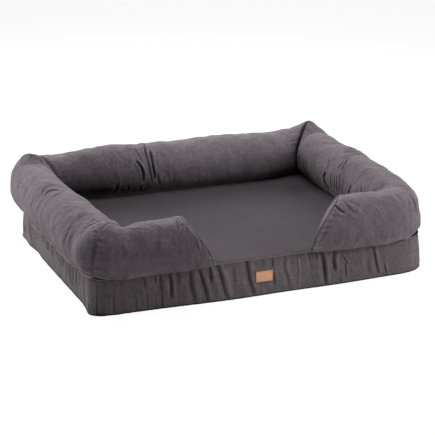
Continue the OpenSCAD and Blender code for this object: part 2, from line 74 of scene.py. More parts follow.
def make_camera():
    """The photo's camera, fitted to the bed's outline."""
    azimuth, elevation, distance = math.radians(-21.6016), math.radians(18.6801), 6.3546
    data = bpy.data.cameras.new("camera")
    data.lens, data.sensor_width = 148.69, 36.0
    data.shift_x, data.shift_y = 0.00448, -0.00168
    cam = add_object("camera", data)
    back = Vector((math.sin(azimuth) * math.cos(elevation),
                   -math.cos(azimuth) * math.cos(elevation), math.sin(elevation)))
    centre = Vector((0.0, 0.0, 0.12))
    aim(cam, centre + back * distance, centre)
    bpy.context.scene.camera = cam


# Where the lights point, in metres
LIT_PLACE = (0, 0, 0.15)


def area_light(name, place, size, power):
    data = bpy.data.lights.new(name, "AREA")
    data.shape, data.size, data.size_y = "RECTANGLE", size[0], size[1]
    data.energy = power
    aim(add_object(name, data), place, LIT_PLACE)


make_camera()
scene = bpy.context.scene
scene.view_settings.view_transform = "Standard"


# Node materials

# The period of a wave texture of scale 1, in metres
WAVE_PERIOD = 0.314


class Shader:
    """The nodes of a material or of the world. Sockets given as values are linked or set."""

    def __init__(self, owner):
        owner.use_nodes = True
        self.owner, self.tree = owner, owner.node_tree
        self.tree.nodes.clear()

    def node(self, kind, sockets=None, **props):
        node = self.tree.nodes.new(kind)
        for key, value in props.items():
            setattr(node, key, value)
        for key, value in (sockets or {}).items():
            if isinstance(value, bpy.types.NodeSocket):
                self.tree.links.new(value, node.inputs[key])
            else:
                node.inputs[key].default_value = value
        return node.outputs

    def add(self, kind, sockets=None, out=0, **props):
        return self.node(kind, sockets, **props)[out]

    def math(self, kind, a, b=0.5):
        return self.add("ShaderNodeMath", {0: a, 1: b}, operation=kind)

    def times(self, value, factor):
        return self.math("MULTIPLY", value, factor)

    def total(self, first, *others):
        for other in others:
            first = self.math("ADD", first, other)
        return first

    def away(self, value, middle):
        """How far a value is from a middle one."""
        return self.math("ABSOLUTE", self.math("SUBTRACT", value, middle))

    def coords(self, source, scale=(1, 1, 1)):
        place = self.add("ShaderNodeTexCoord", out=source)
        return self.add("ShaderNodeMapping", {"Vector": place, "Scale": scale})

    def noise(self, vector, scale, detail=2.0, rough=0.5):
        return self.add("ShaderNodeTexNoise",
                        {"Vector": vector, "Scale": scale, "Detail": detail, "Roughness": rough})

    def wave(self, vector, pitch, direction, distortion, detail=1.0, fine=1.0):
        """Threads that lie pitch metres apart."""
        return self.add("ShaderNodeTexWave",
                        {"Vector": vector, "Scale": WAVE_PERIOD / pitch, "Distortion": distortion,
                         "Detail": detail, "Detail Scale": fine},
                        out=1, wave_type="BANDS", bands_direction=direction)

    def span(self, value, low, high, to_low=0.0, to_high=1.0):
        return self.add("ShaderNodeMapRange", {"Value": value, "From Min": low, "From Max": high,
                                               "To Min": to_low, "To Max": to_high})

    def swing(self, value, reach, low=0.3, high=0.7):
        """A texture's usual values, low to high, turned into -reach to reach."""
        return self.span(value, low, high, -reach, reach)

    def mix(self, factor, a, b, blend="MIX"):
        return self.add("ShaderNodeMix", {"Factor": factor, 6: a, 7: b}, out=2,
                        data_type="RGBA", blend_type=blend)

    def bump(self, height, distance, strength=1.0, under=None):
        sockets = {"Height": height, "Distance": distance, "Strength": strength}
        if under is not None:
            sockets["Normal"] = under
        return self.add("ShaderNodeBump", sockets)

    def finish(self, **sockets):
        names = {key.replace("_", " "): value for key, value in sockets.items()}
        surface = self.add("ShaderNodeBsdfPrincipled", names)
        self.node("ShaderNodeOutputMaterial", {"Surface": surface})
        return self.owner


def new_shader(name):
    return Shader(bpy.data.materials.new(name))


def rgba(colour, k=1.0):
    return (colour[0] * k, colour[1] * k, colour[2] * k, 1.0)


# Painted light and shade: the lowest and highest value of the "pile" attribute, and the brightness
# that they give
PILE_LOW, PILE_HIGH = -1.4, 1.0
DARKEST, BRIGHTEST = 0.02, 1.7
THREAD_PITCH = 0.0015
# The warmer patches of the cloth
WARM = (1.10, 0.98, 1.02)


def velour(name, colour, spread=0.2, sheen=0.25, weave=1.0):
    """Short-pile linen-look velour: woven ground, slubs, mottled pile, soft sheen.
    The first UV map is in metres along and across the cloth."""
    s = new_shader(name)
    flat, space = s.coords("UV"), s.coords("Object")
    pile = s.noise(space, 6.0, 3.0)
    patch = s.noise(space, 34.0, 4.0, 0.6)
    fibre = s.noise(space, 1500.0, 2.0, 0.7)
    fleck = s.noise(space, 170.0, 3.0, 0.7)
    slub_warp = s.noise(s.coords("UV", (60, 900, 1)), 1.0, 3.0)
    slub_weft = s.noise(s.coords("UV", (900, 60, 1)), 1.0, 3.0)
    warp, weft = (s.wave(flat, THREAD_PITCH / weave, direction, 1.4, 2.0, 1.5) for direction in "XY")
    threads = s.times(warp, weft)
    slub = s.total(s.swing(slub_warp, 0.5, 0.35, 0.75), s.swing(slub_weft, 0.5, 0.35, 0.75))
    tone = s.total(s.swing(pile, 0.35), s.swing(patch, 0.55), s.times(slub, 0.7), s.swing(fibre, 0.5),
                   s.swing(fleck, 1.3), s.swing(threads, 0.35, 0.0, 1.0))
    level = s.span(tone, -1.8, 1.8)
    dark, light = 1 - 1.6 * spread, 1 + 1.6 * spread
    tinted = tuple(c * w for c, w in zip(colour, WARM))
    plain_tone, warm_tone = (s.mix(level, rgba(c, dark), rgba(c, light)) for c in (colour, tinted))
    warm_share = s.span(s.noise(space, 9.0, 3.0, 0.6), 0.45, 0.7, 0.0, 0.35)
    # the "pile" attribute holds painted light and shade, multiplied into the colour below
    painted_shading = s.add("ShaderNodeAttribute", out="Fac", attribute_name="pile")
    painted_brightness = s.span(painted_shading, PILE_LOW, PILE_HIGH, DARKEST, BRIGHTEST)
    base = s.mix(1.0, s.mix(warm_share, plain_tone, warm_tone), painted_brightness, blend="MULTIPLY")
    normal = s.bump(patch, 0.0012, 0.5)
    normal = s.bump(slub, 0.0003, 0.6, normal)
    normal = s.bump(fleck, 0.0009, 0.6, normal)
    normal = s.bump(s.total(threads, s.times(fibre, 0.6)), 0.0003, 0.7, normal)
    return s.finish(Base_Color=base, Roughness=0.92, Normal=normal, Sheen_Weight=sheen,
                    Sheen_Roughness=0.45, Sheen_Tint=(0.9, 0.82, 0.86, 1.0),
                    Specular_IOR_Level=0.07)


ROLL_CLOTH = velour("cover_velour", (0.142, 0.121, 0.133))
# a lighter copy of the cover velour: painted light on the strips and end panels
BAND_CLOTH_PAINTED_LIGHT = velour("band_velour_painted_light", (0.152, 0.130, 0.138), sheen=0.2)
# a much darker copy of the cover velour: painted shade on the lying surface
PANEL_CLOTH_PAINTED_SHADE = velour("panel_velour_painted_shade", (0.057, 0.0495, 0.0555), spread=0.14, sheen=0.15)
# a paler copy of the cover velour, which paints a light line along the seams
SEAM_CLOTH_PAINTED_LIGHT = velour("seam_velour", (0.19, 0.163, 0.174), sheen=0.3)
# a far paler copy of the seam cloth: a painted highlight along the left roll's foot
HEM_CLOTH_PAINTED_HIGHLIGHT = velour("hem_velour_painted_highlight", (0.52, 0.47, 0.49), sheen=0.4)
# a near-black cloth for the bottom seams: a painted shadow along the floor
FLOOR_SEAM_PAINTED_SHADOW = velour("floor_seam_painted_shadow", (0.028, 0.024, 0.027), sheen=0.05)
GRIP_CLOTH = velour("grip_velour", (0.045, 0.043, 0.046), sheen=0.05, weave=0.6)


def plain(name, colour, rough, scale, distance, spread=0.08, **more):
    """A fine-grained finish: foam, fibre, plastic or metal."""
    s = new_shader(name)
    space = s.coords("Object")
    grain = s.noise(space, scale, 3.0, 0.65)
    broad = s.noise(space, scale / 14, 2.0)
    tone = s.total(s.swing(grain, 0.5), s.swing(broad, 0.5))
    base = s.mix(s.span(tone, -1, 1), rgba(colour, 1 - spread), rgba(colour, 1 + spread))
    level = s.span(grain, 0.3, 0.7, rough - 0.06, rough + 0.06)
    return s.finish(Base_Color=base, Roughness=level, Normal=s.bump(grain, distance, 0.6), **more)


FOAM_PALE = plain("pale_foam", (0.78, 0.74, 0.62), 0.9, 900, 0.0004)
FOAM_BLUE = plain("blue_foam", (0.45, 0.58, 0.68), 0.9, 900, 0.0004)
FIBRE = plain("fibre", (0.84, 0.84, 0.81), 0.95, 400, 0.001)
ZIP_METAL = plain("zip_metal", (0.26, 0.26, 0.27), 0.34, 1400, 0.0001, 0.1, Metallic=1.0)
ZIP_TEETH = plain("zip_teeth", (0.022, 0.022, 0.025), 0.38, 1100, 0.0001, 0.15, Specular_IOR_Level=0.5)


def woven_tape():
    """Zip tape: a close herringbone of black polyester, in object coordinates."""
    s = new_shader("zip_tape")
    space = s.coords("Object")
    height = s.total(s.wave(space, 0.0011, "X", 0.6), s.times(s.wave(space, 0.0016, "DIAGONAL", 0.8), 0.8))
    lint = s.noise(space, 900.0, 3.0, 0.7)
    tone = s.total(s.swing(height, 0.5, 0, 1.8), s.swing(lint, 0.5))
    base = s.mix(s.span(tone, -1, 1), (0.018, 0.018, 0.02, 1), (0.045, 0.045, 0.05, 1))
    return s.finish(Base_Color=base, Roughness=0.8, Normal=s.bump(height, 0.00025, 0.8),
                    Sheen_Weight=0.15, Sheen_Roughness=0.5)


# The label's stitches: how far inside its rim, and how far apart, in metres
STITCH_IN, STITCH_PITCH = 3.0 * MM, 4.2 * MM


def patch_leather():
    """The bare label: tan leather with pores, a burnished edge and a row of stitches."""
    s = new_shader("label_leather")
    place = s.coords("Object")
    split = s.node("ShaderNodeSeparateXYZ", {0: place})
    dx, dz = s.away(split["X"], LABEL_X * MM), s.away(split["Z"], LABEL_Z * MM)
    rim = s.math("MINIMUM", s.math("SUBTRACT", LABEL_W / 2 * MM, dx),
                 s.math("SUBTRACT", LABEL_H / 2 * MM, dz))
    cells = s.add("ShaderNodeTexVoronoi", {"Vector": place, "Scale": 1100.0}, feature="DISTANCE_TO_EDGE")
    pores = s.noise(place, 2600.0, 3.0, 0.65)
    cloud = s.noise(place, 70.0, 4.0, 0.6)
    scuff = s.noise(s.coords("Object", (260, 260, 900)), 1.0, 3.0)
    grain = s.total(s.span(cells, 0.0, 0.25), s.times(pores, 0.5))
    tone = s.total(s.swing(cloud, 0.6), s.swing(grain, 0.35, 0.2, 1.4), s.swing(scuff, 0.3, 0.35, 0.7))
    hide = s.mix(s.span(tone, -1.1, 1.1), (0.84, 0.4, 0.235, 1), (0.98, 0.53, 0.31, 1))
    burnt = s.mix(s.span(rim, 0.0004, 0.0016), (0.15, 0.055, 0.026, 1), hide)
    line = s.span(s.away(rim, STITCH_IN), 0.00035, 0.0006, 1.0, 0.0)
    dash = s.math("MODULO", s.total(dx, dz), STITCH_PITCH)
    dash = s.span(s.away(dash, STITCH_PITCH / 2), 0.0012, 0.0015, 1.0, 0.0)
    stitch = s.times(line, dash)
    edge = s.bump(s.span(rim, 0.0, 0.0015), 0.0006, 0.8)
    thread = s.bump(s.math("SUBTRACT", stitch, s.times(line, 0.5)), 0.0005, 0.9, edge)
    return s.finish(Base_Color=s.mix(stitch, burnt, (0.30, 0.13, 0.07, 1)),
                    Roughness=s.span(grain, 0.2, 1.4, 0.62, 0.46),
                    Normal=s.bump(grain, 0.00012, 0.7, thread), Specular_IOR_Level=0.4)


# The CAD nodes that stay, and their finishes
for finish, nodes in ((woven_tape(), ("zip_tape_upper", "zip_tape_lower")),
                      (patch_leather(), ("label_patch",)),
                      (ZIP_TEETH, ("zip_teeth_upper", "zip_teeth_lower")),
                      (ZIP_METAL, ("zip_top_stops", "zip_bottom_stop", "zip_slider", "zip_pull"))):
    for node in nodes:
        bpy.data.objects[node].data.materials.clear()
        bpy.data.objects[node].data.materials.append(finish)


# Meshes

# The rings of an end's cap: share of the end's own size, and of the cap's depth
CAP_RINGS = ((0.93, 0.45), (0.7, 0.9), (0.35, 1.0))
SEAM_CAPS = (0.4, 0.4)


def paces(grid, axis):
    """How far each line of a grid lies from its first one, on average."""
    steps = norm(np.diff(grid, axis=axis), axis=2)
    return np.r_[0, np.cumsum(steps.mean(1 - axis))]


def grid_object(name, grid, material, closed=True, flip=False, caps=(None, None), pile=None):
    """A mesh from an (n, m, 3) grid in mm, closed across m or not. caps = (at first, at last)
    gives how far each end's cap is drawn in, in mm, or None where that end stays open."""
    n, m = grid.shape[:2]
    verts, count = [grid.reshape(-1, 3)], n * m
    i, k = np.meshgrid(np.arange(n - 1), np.arange(m if closed else m - 1), indexing="ij")
    k2 = (k + 1) % m
    quads = np.stack([i * m + k, i * m + k2, (i + 1) * m + k2, (i + 1) * m + k], -1)
    faces = quads.reshape(-1, 4).tolist()
    along = paces(grid, 0)
    across = paces(np.concatenate([grid, grid[:, :1]], 1) if closed else grid, 1)
    u = np.stack([along[i], along[i], along[i + 1], along[i + 1]], -1)
    v = np.stack([across[k], across[k + 1], across[k + 1], across[k]], -1)
    uvs = np.stack([u, v], -1).reshape(-1, 4, 2).tolist()
    for first, second, order, deep in ((0, 1, -1, caps[0]), (n - 1, n - 2, 1, caps[1])):
        if deep is None:
            continue
        edge, middle = grid[first], grid[first].mean(0)
        inward = grid[second].mean(0) - middle
        inward = inward / norm(inward)
        ring = np.arange(m) + first * m
        for share, depth in CAP_RINGS:
            verts.append(middle + (edge - middle) * share + inward * deep * depth)
            new = np.arange(m) + count
            quads = np.stack([ring, np.roll(ring, -1), np.roll(new, -1), new], -1)
            faces += quads[:, ::order].tolist()
            ring, count = new, count + m
        verts.append((middle + inward * deep)[None])
        faces += np.stack([ring, np.roll(ring, -1), np.full(m, count)], -1)[:, ::order].tolist()
        count += 1
    uvs += [[[0, 0]] * len(face) for face in faces[len(uvs):]]
    if flip:
        faces, uvs = [face[::-1] for face in faces], [face[::-1] for face in uvs]
    mesh = bpy.data.meshes.new(name)
    mesh.from_pydata((np.concatenate(verts) * MM).tolist(), [], faces)
    corners = np.array([corner for face in uvs for corner in face], dtype=np.float32)
    mesh.uv_layers.new(name="cloth").data.foreach_set("uv", (corners * MM).ravel())
    mesh.polygons.foreach_set("use_smooth", [True] * len(mesh.polygons))
    # the "pile" attribute: painted light and shade for the material
    if pile is not None:
        painted_shading = np.zeros(len(mesh.vertices), dtype=np.float32)
        painted_shading[:n * m] = pile.ravel()
        mesh.attributes.new("pile", "FLOAT", "POINT").data.foreach_set("value", painted_shading)
    mesh.materials.append(material)
    mesh.update()
    return add_object(name, mesh)


def piece(name, grid, material, node=None, slot="cover_cloth", **more):
    """A mesh that rides on the mattress, and stands for a CAD node where one is named."""
    obj = grid_object(name, grid, material, **more)
    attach(obj, "root")
    if node:
        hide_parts(node)
    return obj


def thicken(obj, offset=-1.0):
    mod = obj.modifiers.new("thickness", "SOLIDIFY")
    mod.thickness, mod.offset = CLOTH * MM, offset


def tube_grid(path, radius):
    """Eight-sided rings of a tube along an open path in mm."""
    path = np.asarray(path, float)
    ahead = np.gradient(path, axis=0)
    ahead /= norm(ahead, axis=1)[:, None]
    side = np.cross(ahead, [0, 0, 1.0])
    side[norm(side, axis=1) < 1e-3] = [1, 0, 0]
    side /= norm(side, axis=1)[:, None]
    up = np.cross(side, ahead)
    turn = np.linspace(0, 2 * np.pi, 8, endpoint=False)[None, :, None]
    return path[:, None] + radius * (side[:, None] * np.cos(turn) + up[:, None] * np.sin(turn))


def finer(grid, closed):
    """The grid with twice the rows, along smooth curves."""
    if closed:
        more = np.concatenate([grid[-1:], grid, grid[:2]])
    else:
        more = np.concatenate([2 * grid[:1] - grid[1:2], grid, 2 * grid[-1:] - grid[-2:-1]])
    middles = (9 * (more[1:-2] + more[2:-1]) - more[:-3] - more[3:]) / 16
    out = np.empty((len(grid) + len(middles),) + grid.shape[1:])
    out[0::2], out[1::2] = grid, middles
    return out


def normals_of(grid):
    """Normals of a grid that is closed across."""
    across = (np.roll(grid, -1, 1) - np.roll(grid, 1, 1)) / 2
    n = np.cross(across, np.gradient(grid, axis=0))
    return n / np.maximum(norm(n, axis=2), 1e-9)[..., None]


def from_end(grid, end):
    """How far each point is from its fellow at an end of the grid."""
    return norm(grid - grid[end][None], axis=-1)


def bell(x):
    return np.exp(-x * x)


def crease(x):
    return np.exp(-np.abs(x) ** 1.25)


def ease(x):
    x = np.clip(x, 0, 1)
    return x * x * (3 - 2 * x)


WAVES = 24


def drift(points, scale, seed):
    """Smooth noise at points in mm: a sum of seeded plane waves of about that wavelength."""
    rng = np.random.default_rng(seed)
    total = np.zeros(points.shape[:-1])
    for _ in range(WAVES):
        k = rng.normal(size=3)
        k *= 2 * np.pi / (scale * rng.uniform(0.7, 1.6)) / norm(k)
        total += np.cos(points @ k + rng.uniform(0, 2 * np.pi))
    return total / math.sqrt(WAVES / 2) / 1.6


# Cloth simulation

SIM_FRAMES, PRESSURE, BENDING = 16, 3.0, 0.5
# How far a point may move at most, in mm
MOST_MOVE = 11.0


def simulate(jobs):
    """Runs all jobs side by side and returns each one's moved grid. A job is the name of a closed
    grid of cloth, the grid in mm, which points are pinned, and its shape before it was sewn in."""
    objects = []
    for name, grid, pinned, rest in jobs:
        obj = grid_object("sim_" + name, grid, ROLL_CLOTH)
        obj.shape_key_add(name="Basis")
        key = obj.shape_key_add(name="rest")
        key.data.foreach_set("co", (rest.reshape(-1, 3) * MM).astype(np.float32).ravel())
        key.value = 0.0
        obj.vertex_groups.new(name="pin").add(np.flatnonzero(pinned).tolist(), 1.0, "REPLACE")
        mod = obj.modifiers.new("cloth", "CLOTH")
        cloth = mod.settings
        cloth.quality, cloth.mass, cloth.air_damping = 6, 0.3, 2.0
        cloth.tension_stiffness, cloth.compression_stiffness, cloth.shear_stiffness = 18, 18, 6
        cloth.bending_stiffness = BENDING
        cloth.use_pressure, cloth.uniform_pressure_force = True, PRESSURE
        cloth.vertex_group_mass = "pin"
        cloth.rest_shape_key = key
        cloth.effector_weights.gravity = 0.0
        mod.collision_settings.use_collision = False
        mod.point_cache.frame_start, mod.point_cache.frame_end = 1, SIM_FRAMES
        objects.append(obj)
    for step in range(1, SIM_FRAMES + 1):
        scene.frame_set(step)
    graph = bpy.context.evaluated_depsgraph_get()
    out = []
    for (_, grid, _, _), obj in zip(jobs, objects):
        flat = np.empty(grid.size, dtype=np.float32)
        obj.evaluated_get(graph).data.vertices.foreach_get("co", flat)
        moved = flat.reshape(grid.shape).astype(float) / MM - grid
        length = norm(moved, axis=-1, keepdims=True)
        out.append(grid + moved * np.minimum(1, MOST_MOVE / np.maximum(length, 1e-6)))
        data = obj.data
        bpy.data.objects.remove(obj)
        bpy.data.meshes.remove(data)
    scene.frame_set(1)
    return out


# Bolster rolls

# How square a roll's section is: above, at its outer foot and at its inner foot
SQUARE_TOP, SQUARE_OUTER, SQUARE_INNER = 2.15, 3.1, 2.6
# How far the lower inner side of a roll turns back under it, and a cut end bulges
UNDERCUT, END_SWELL = 83.5, 13.0
# The share of a roll's length that the form of its end takes, and how much slimmer it is there
END_SHARE, END_DRAW, CUT_DRAW = 0.25, 5, 4
# About how far apart a roll's rings are, and the length that a corner takes, in mm
STEP, CORNER_ROOM = 8.0, 60


class Roll:
    """A roll of the bolster in its own axes: x along its edge line, y out, z up from the mattress.
    ends are its left and right corner. sag is how far its foot hangs over the edge, as (x, drop).
    full is how much fuller its inner side is, from left to right. A cut left end stands at end_x,
    with its top drawn back by lean and its inner side by skew."""

    def __init__(self, half_edge, ends, place, flip, sag, full=(0, 0), lean=0, skew=0, end_x=None):
        self.half_edge, self.place, self.flip, self.full = half_edge, place, flip, full
        self.peaks, self.radii = zip(*ends)
        self.sag, self.lean, self.skew, self.end_x = np.array(sag, float), lean, skew, end_x
        self.mitred = (0, -1) if end_x is None else (-1,)

    def points(self, s, angle, inset=0.0, end_inset=0.0):
        """Rings of the roll. s runs along it (n values), from 0 to 1 where it is straight and up to
        1 further round each corner, and angle round it (m, degrees)."""
        s, angle = np.meshgrid(s, np.radians(angle), indexing="ij")
        c, n = np.cos(angle), np.sin(angle)
        near = np.where(s < 0, -s, np.where(s > 1, s - 1, 0))
        full = np.where((s > 0) & (s < 1), np.sin(np.pi * np.clip(s, 0, 1)) ** 0.5, 0)
        draw = END_DRAW * (1 - full) + END_DRAW * near ** 2 + inset
        if self.end_x is not None:
            draw = draw + CUT_DRAW * np.maximum(0, 1 - s / END_SHARE) ** 2
            draw = draw - CUT_DRAW * (1 - full) * (s < 0.5)
        # the section: d inward from the edge line and v up from the mattress
        p = np.where(n >= 0, 2 / SQUARE_TOP, np.where(c > 0, 2 / SQUARE_OUTER, 2 / SQUARE_INNER))
        cp, sp = np.abs(c) ** p, np.sign(n) * np.abs(n) ** p
        wide = ROLL_W / 2 - draw + np.interp(s, np.linspace(0, 1, len(self.full)), self.full) * full
        for (_, _, slim), part in zip(self.peaks, (1 - s / END_SHARE, 1 - (1 - s) / END_SHARE)):
            wide = wide - slim * ease(part)
        under = wide - UNDERCUT * (1 - cp)
        inside = np.where(n >= 0, wide * cp, np.maximum(under, wide * cp * 0.3))
        d = CENTRE_IN + np.where(c > 0, -(ROLL_W / 2 - draw) * cp, inside)
        v = CENTRE_UP + np.where(n >= 0, ROLL_H - CENTRE_UP - draw, CENTRE_UP + SINK - draw) * sp
        v = np.maximum(inset, v)
        for (peak, tilt, _), part in zip(self.peaks, (np.clip(-s, 0, 1), np.clip(s - 1, 0, 1))):
            v = v + peak * part ** 1.5 * (v / ROLL_H) ** 3 * (1 + tilt * c)
        # the way along: straight, then an eighth of a turn to each mitre
        low = np.clip(1 - v / 90, 0, 1) ** 1.5
        share = (ROLL_W - OVERHANG - d) / ROLL_W
        radii = [INNER_R + (top + (bottom - top) * low - INNER_R) * share for top, bottom in self.radii]
        r = np.where(s < 0, *radii)
        right = self.half_edge - d - radii[1]
        left = -(self.half_edge - d - radii[0])
        if self.end_x is not None:
            left = self.end_x + self.lean * v / ROLL_H + self.skew * d / ROLL_W + end_inset
            left = left - END_SWELL * np.sin(np.pi * np.clip(v / ROLL_H, 0, 1))
        phi = np.radians(45) * near
        x = np.where(s < 0, left - r * np.sin(phi),
                     np.where(s > 1, right + r * np.sin(phi), left + (right - left) * s))
        y = np.where(near > 0, -d - r + r * np.cos(phi), -d)
        drop = np.interp(x, *self.sag.T) * np.clip(1 - v / 110, 0, 1) ** 1.5
        v = v - drop * ease((-d - 2) / 22) * (inset < 5)
        return np.stack([x, y, v], -1)

    def stations(self):
        """Values of s for rings about STEP apart."""
        half = self.half_edge - CENTRE_IN - CORNER_ROOM
        length = 2 * half if self.end_x is None else half - self.end_x - self.lean / 2
        corners = [np.linspace(0, 1, int(0.6 * top / STEP) + 2)[1:] for top, _ in self.radii]
        parts = [np.linspace(0, 1, int(length / STEP) + 1), 1 + corners[1]]
        if self.end_x is None:
            parts.insert(0, -corners[0][::-1])
        return np.concatenate(parts)


PLUS_X, MINUS_X, PLUS_Y, MINUS_Y = (1, 0), (-1, 0), (0, 1), (0, -1)


def side(x, y, along, out):
    """A function that sets a shape, given along, out of and up from a side, at that side."""
    def place(p):
        flat = [at + a * p[..., 0] + o * p[..., 1] for at, a, o in zip((x, y), along, out)]
        return np.stack(flat + [TOP + p[..., 2]], -1)
    return place


# Each corner: (peak, its tilt outward, how much slimmer the inner side is), (outer radius higher up
# and at the foot)
BACK_LEFT, BACK_RIGHT = ((25, 1.5, 20), (105, 110)), ((41, 0.9, 0), (138, 100))
FRONT_LEFT, FRONT_RIGHT = ((22, 0.0, 0), (117, 60)), ((4, 0.0, 0), (222, 150))
CUT = ((0, 0, 0), (0, 0))

ROLLS = {
    "back": Roll(TRACK_W, (BACK_LEFT, BACK_RIGHT), side(TRACK_X, TRACK[3], PLUS_X, PLUS_Y), False,
                 [(-440, 12), (-200, 9), (200, 9), (440, 8)], (6, 13, 10, 3, 10, 20, 26, 20)),
    "right": Roll(TRACK_D, (BACK_RIGHT, FRONT_RIGHT), side(TRACK[1], TRACK_Y, MINUS_Y, PLUS_X), False,
                  [(-300, 8), (0, 12), (250, 8)]),
    "left": Roll(TRACK_D, (BACK_LEFT, FRONT_LEFT), side(TRACK[0], TRACK_Y, MINUS_Y, MINUS_X), True,
                 [(-345, 10), (-265, 19), (-190, 21), (-130, 15), (-20, 15), (120, 14), (260, 9), (320, 9)],
                 (-20, -26, -27, -22, -12, -5, -2, 0)),
    "right_return": Roll(TRACK_W, (CUT, FRONT_RIGHT), side(TRACK_X, TRACK[2], PLUS_X, MINUS_Y), True,
                         [(200, 5), (430, 8)], lean=93, skew=114, end_x=159 - TRACK_X),
    "left_return": Roll(TRACK_W, (CUT, FRONT_LEFT), side(TRACK_X, TRACK[2], MINUS_X, MINUS_Y), False,
                        [(220, 10), (330, 2), (440, 6), (500, 9)], lean=104, skew=-20, end_x=185 + TRACK_X),
}

ANGLES, FINE_ANGLES = np.arange(0, 360, 5.0), np.arange(0, 360, 2.5)
MM_PER_DEGREE = 1.45

# Creases (+) and ridges (-) of each roll: depth, width, then x in mm and the angle at each place
WRINKLES = {
    "left": [
        (1.8, 3.4, -325, 76, -332, 89, -291, 96, -264, 102),
        (-1.2, 3.4, -267, 65, -241, 78, -204, 86, -156, 94),
        (1.5, 3.4, -209, 66, -173, 79, -124, 88, -95, 90), (1.5, 3, -160, 46, -129, 58, -119, 71),
        (-2.7, 4.2, -61, 100, -89, 92, -98, 82, -98, 71, -90, 60, -83, 50, -69, 39),
        (3.6, 4.2, -17, 88, -35, 78, -47, 66, -46, 55, -40, 45), (-1.2, 2.1, -32, 95, -48, 86, -57, 78),
        (1.5, 2.1, -64, 89, -71, 80, -73, 71), (-2.4, 3.4, 19, 82, 4, 75, 10, 64, 17, 54),
        (2.1, 2.5, 47, 95, 27, 88, -3, 82), (-1.2, 2.5, 75, 96, 66, 82, 36, 75),
        (1.2, 2.5, 150, 88, 137, 78, 132, 70), (-1.1, 2.5, 187, 96, 172, 84, 163, 72),
        (-2.4, 3, 230, 94, 232, 82, 239, 70, 249, 61), (2.4, 2.5, 251, 89, 253, 76, 259, 64),
        (-2.4, 3.4, 261, 102, 263, 89, 266, 76, 266, 61, 274, 51),
        (-2.1, 3.4, 322, 99, 346, 82, 354, 68, 349, 56), (1.5, 3, 318, 94, 327, 80, 334, 65),
        (-2.4, 3, 369, 101, 360, 98, 382, 84, 391, 71, 388, 66), (3, 3, 430, 58, 432, 52, 415, 56),
        (-1.8, 2.5, 437, 50, 430, 50, 412, 54), (1.5, 2.5, 419, 66, 417, 61),
        (1.2, 5.1, -293, 25, -230, 28, -176, 21),
    ],
    "left_return": [
        (6, 3.5, 524, 89, 539, 80, 553, 69), (3, 4, 471, 79, 456, 69, 436, 68),
        (-2.5, 3, 488, 85, 471, 84, 456, 76), (3.5, 3, 251, 22, 244, 12, 240, 4),
        (-3, 3, 258, 20, 255, 9, 249, 0), (2.5, 3, 276, 64, 287, 49, 289, 39),
        (2, 3.5, 294, 89, 309, 69, 315, 51), (1.5, 6, 512, 29, 505, 15, 509, 2),
    ],
    "back": [
        (11, 4, -180, 144, -167, 154, -161, 166, -157, 178, -159, 188),
        (11, 3.8, -115, 120, -116, 134, -118, 150, -118, 165, -116, 176, -114, 186),
        (5, 4, -117, 85, -134, 120, -135, 138, -134, 156, -132, 178),
        (3, 4, -171, 108, -165, 129, -158, 149), (4, 3, -120, 125, -124, 139, -130, 154),
        (-4, 3, -123, 174, -121, 182, -120, 194), (5, 5, -257, 188, -259, 198, -266, 206),
        (4, 5, -214, 196, -216, 212), (4, 5, -167, 200, -167, 219), (4, 5, -109, 175, -101, 188, -91, 205),
        (1.5, 4, -271, 131, -277, 150), (1.5, 4, -200, 126, -207, 145, -209, 162),
    ],
    "right": [
        (-3, 4, -233, 105, -205, 98, -182, 90, -186, 78), (2, 4, -271, 90, -237, 85, -206, 81),
        (4, 3.5, -46, 104, -40, 91, -46, 74), (-3, 3, -63, 96, -70, 86, -93, 64),
        (-4, 3.5, 5, 118, -2, 102, -16, 85, -13, 74), (6, 3, 16, 112, 37, 128, 47, 142),
        (4.5, 3, 13, 120, 17, 134, 16, 145), (-3.5, 3, 16, 116, 29, 132, 32, 145),
        (8, 4.5, -55, 170, -64, 180, -51, 189, -31, 200), (3, 3, -6, 166, -5, 180, 0, 189),
        (3.5, 2.5, 19, 166, 28, 176, 32, 184), (5, 2.5, 34, 161, 48, 178, 48, 188),
        (5, 2.5, 49, 152, 65, 172, 63, 185), (-2.5, 3, 70, 154, 86, 170, 86, 184),
        (5, 3.5, 142, 160, 146, 171, 138, 181), (5, 3.5, 219, 154, 230, 161, 236, 170),
        (-2.5, 4, 177, 160, 185, 171), (2.5, 4, -86, 129, -61, 142, -51, 158),
        (4, 2.5, 314, 126, 315, 119, 310, 109), (-3, 3.5, 134, 84, 125, 62, 146, 54),
        (2.5, 3, 186, 91, 201, 82, 225, 78), (2.5, 3, 249, 85, 260, 76, 279, 72),
        (2, 3.5, 282, 148, 300, 138, 307, 128),
    ],
    "right_return": [
        (9, 3.8, 247, 62, 248, 64, 257, 49, 272, 41), (4, 5, 286, 71, 293, 55, 300, 42, 312, 34),
        (-3, 4, 245, 48, 255, 39, 271, 31), (-2, 4, 309, 58, 324, 45, 333, 30),
        (-2.5, 3, 386, 49, 394, 42, 398, 34), (3, 3.5, 216, 40, 226, 38, 241, 32),
        (3, 3.5, 194, 24, 207, 22, 225, 22), (3, 3.5, 175, 8, 194, 10, 211, 10),
        (3, 3.5, 162, -2, 184, -1, 199, 0), (3, 3.5, 153, -15, 172, -9, 193, -5),
        (-3, 3, 459, 94, 499, 101, 514, 88, 529, 72), (3, 2.5, 507, 94, 519, 82, 529, 72),
    ],
}
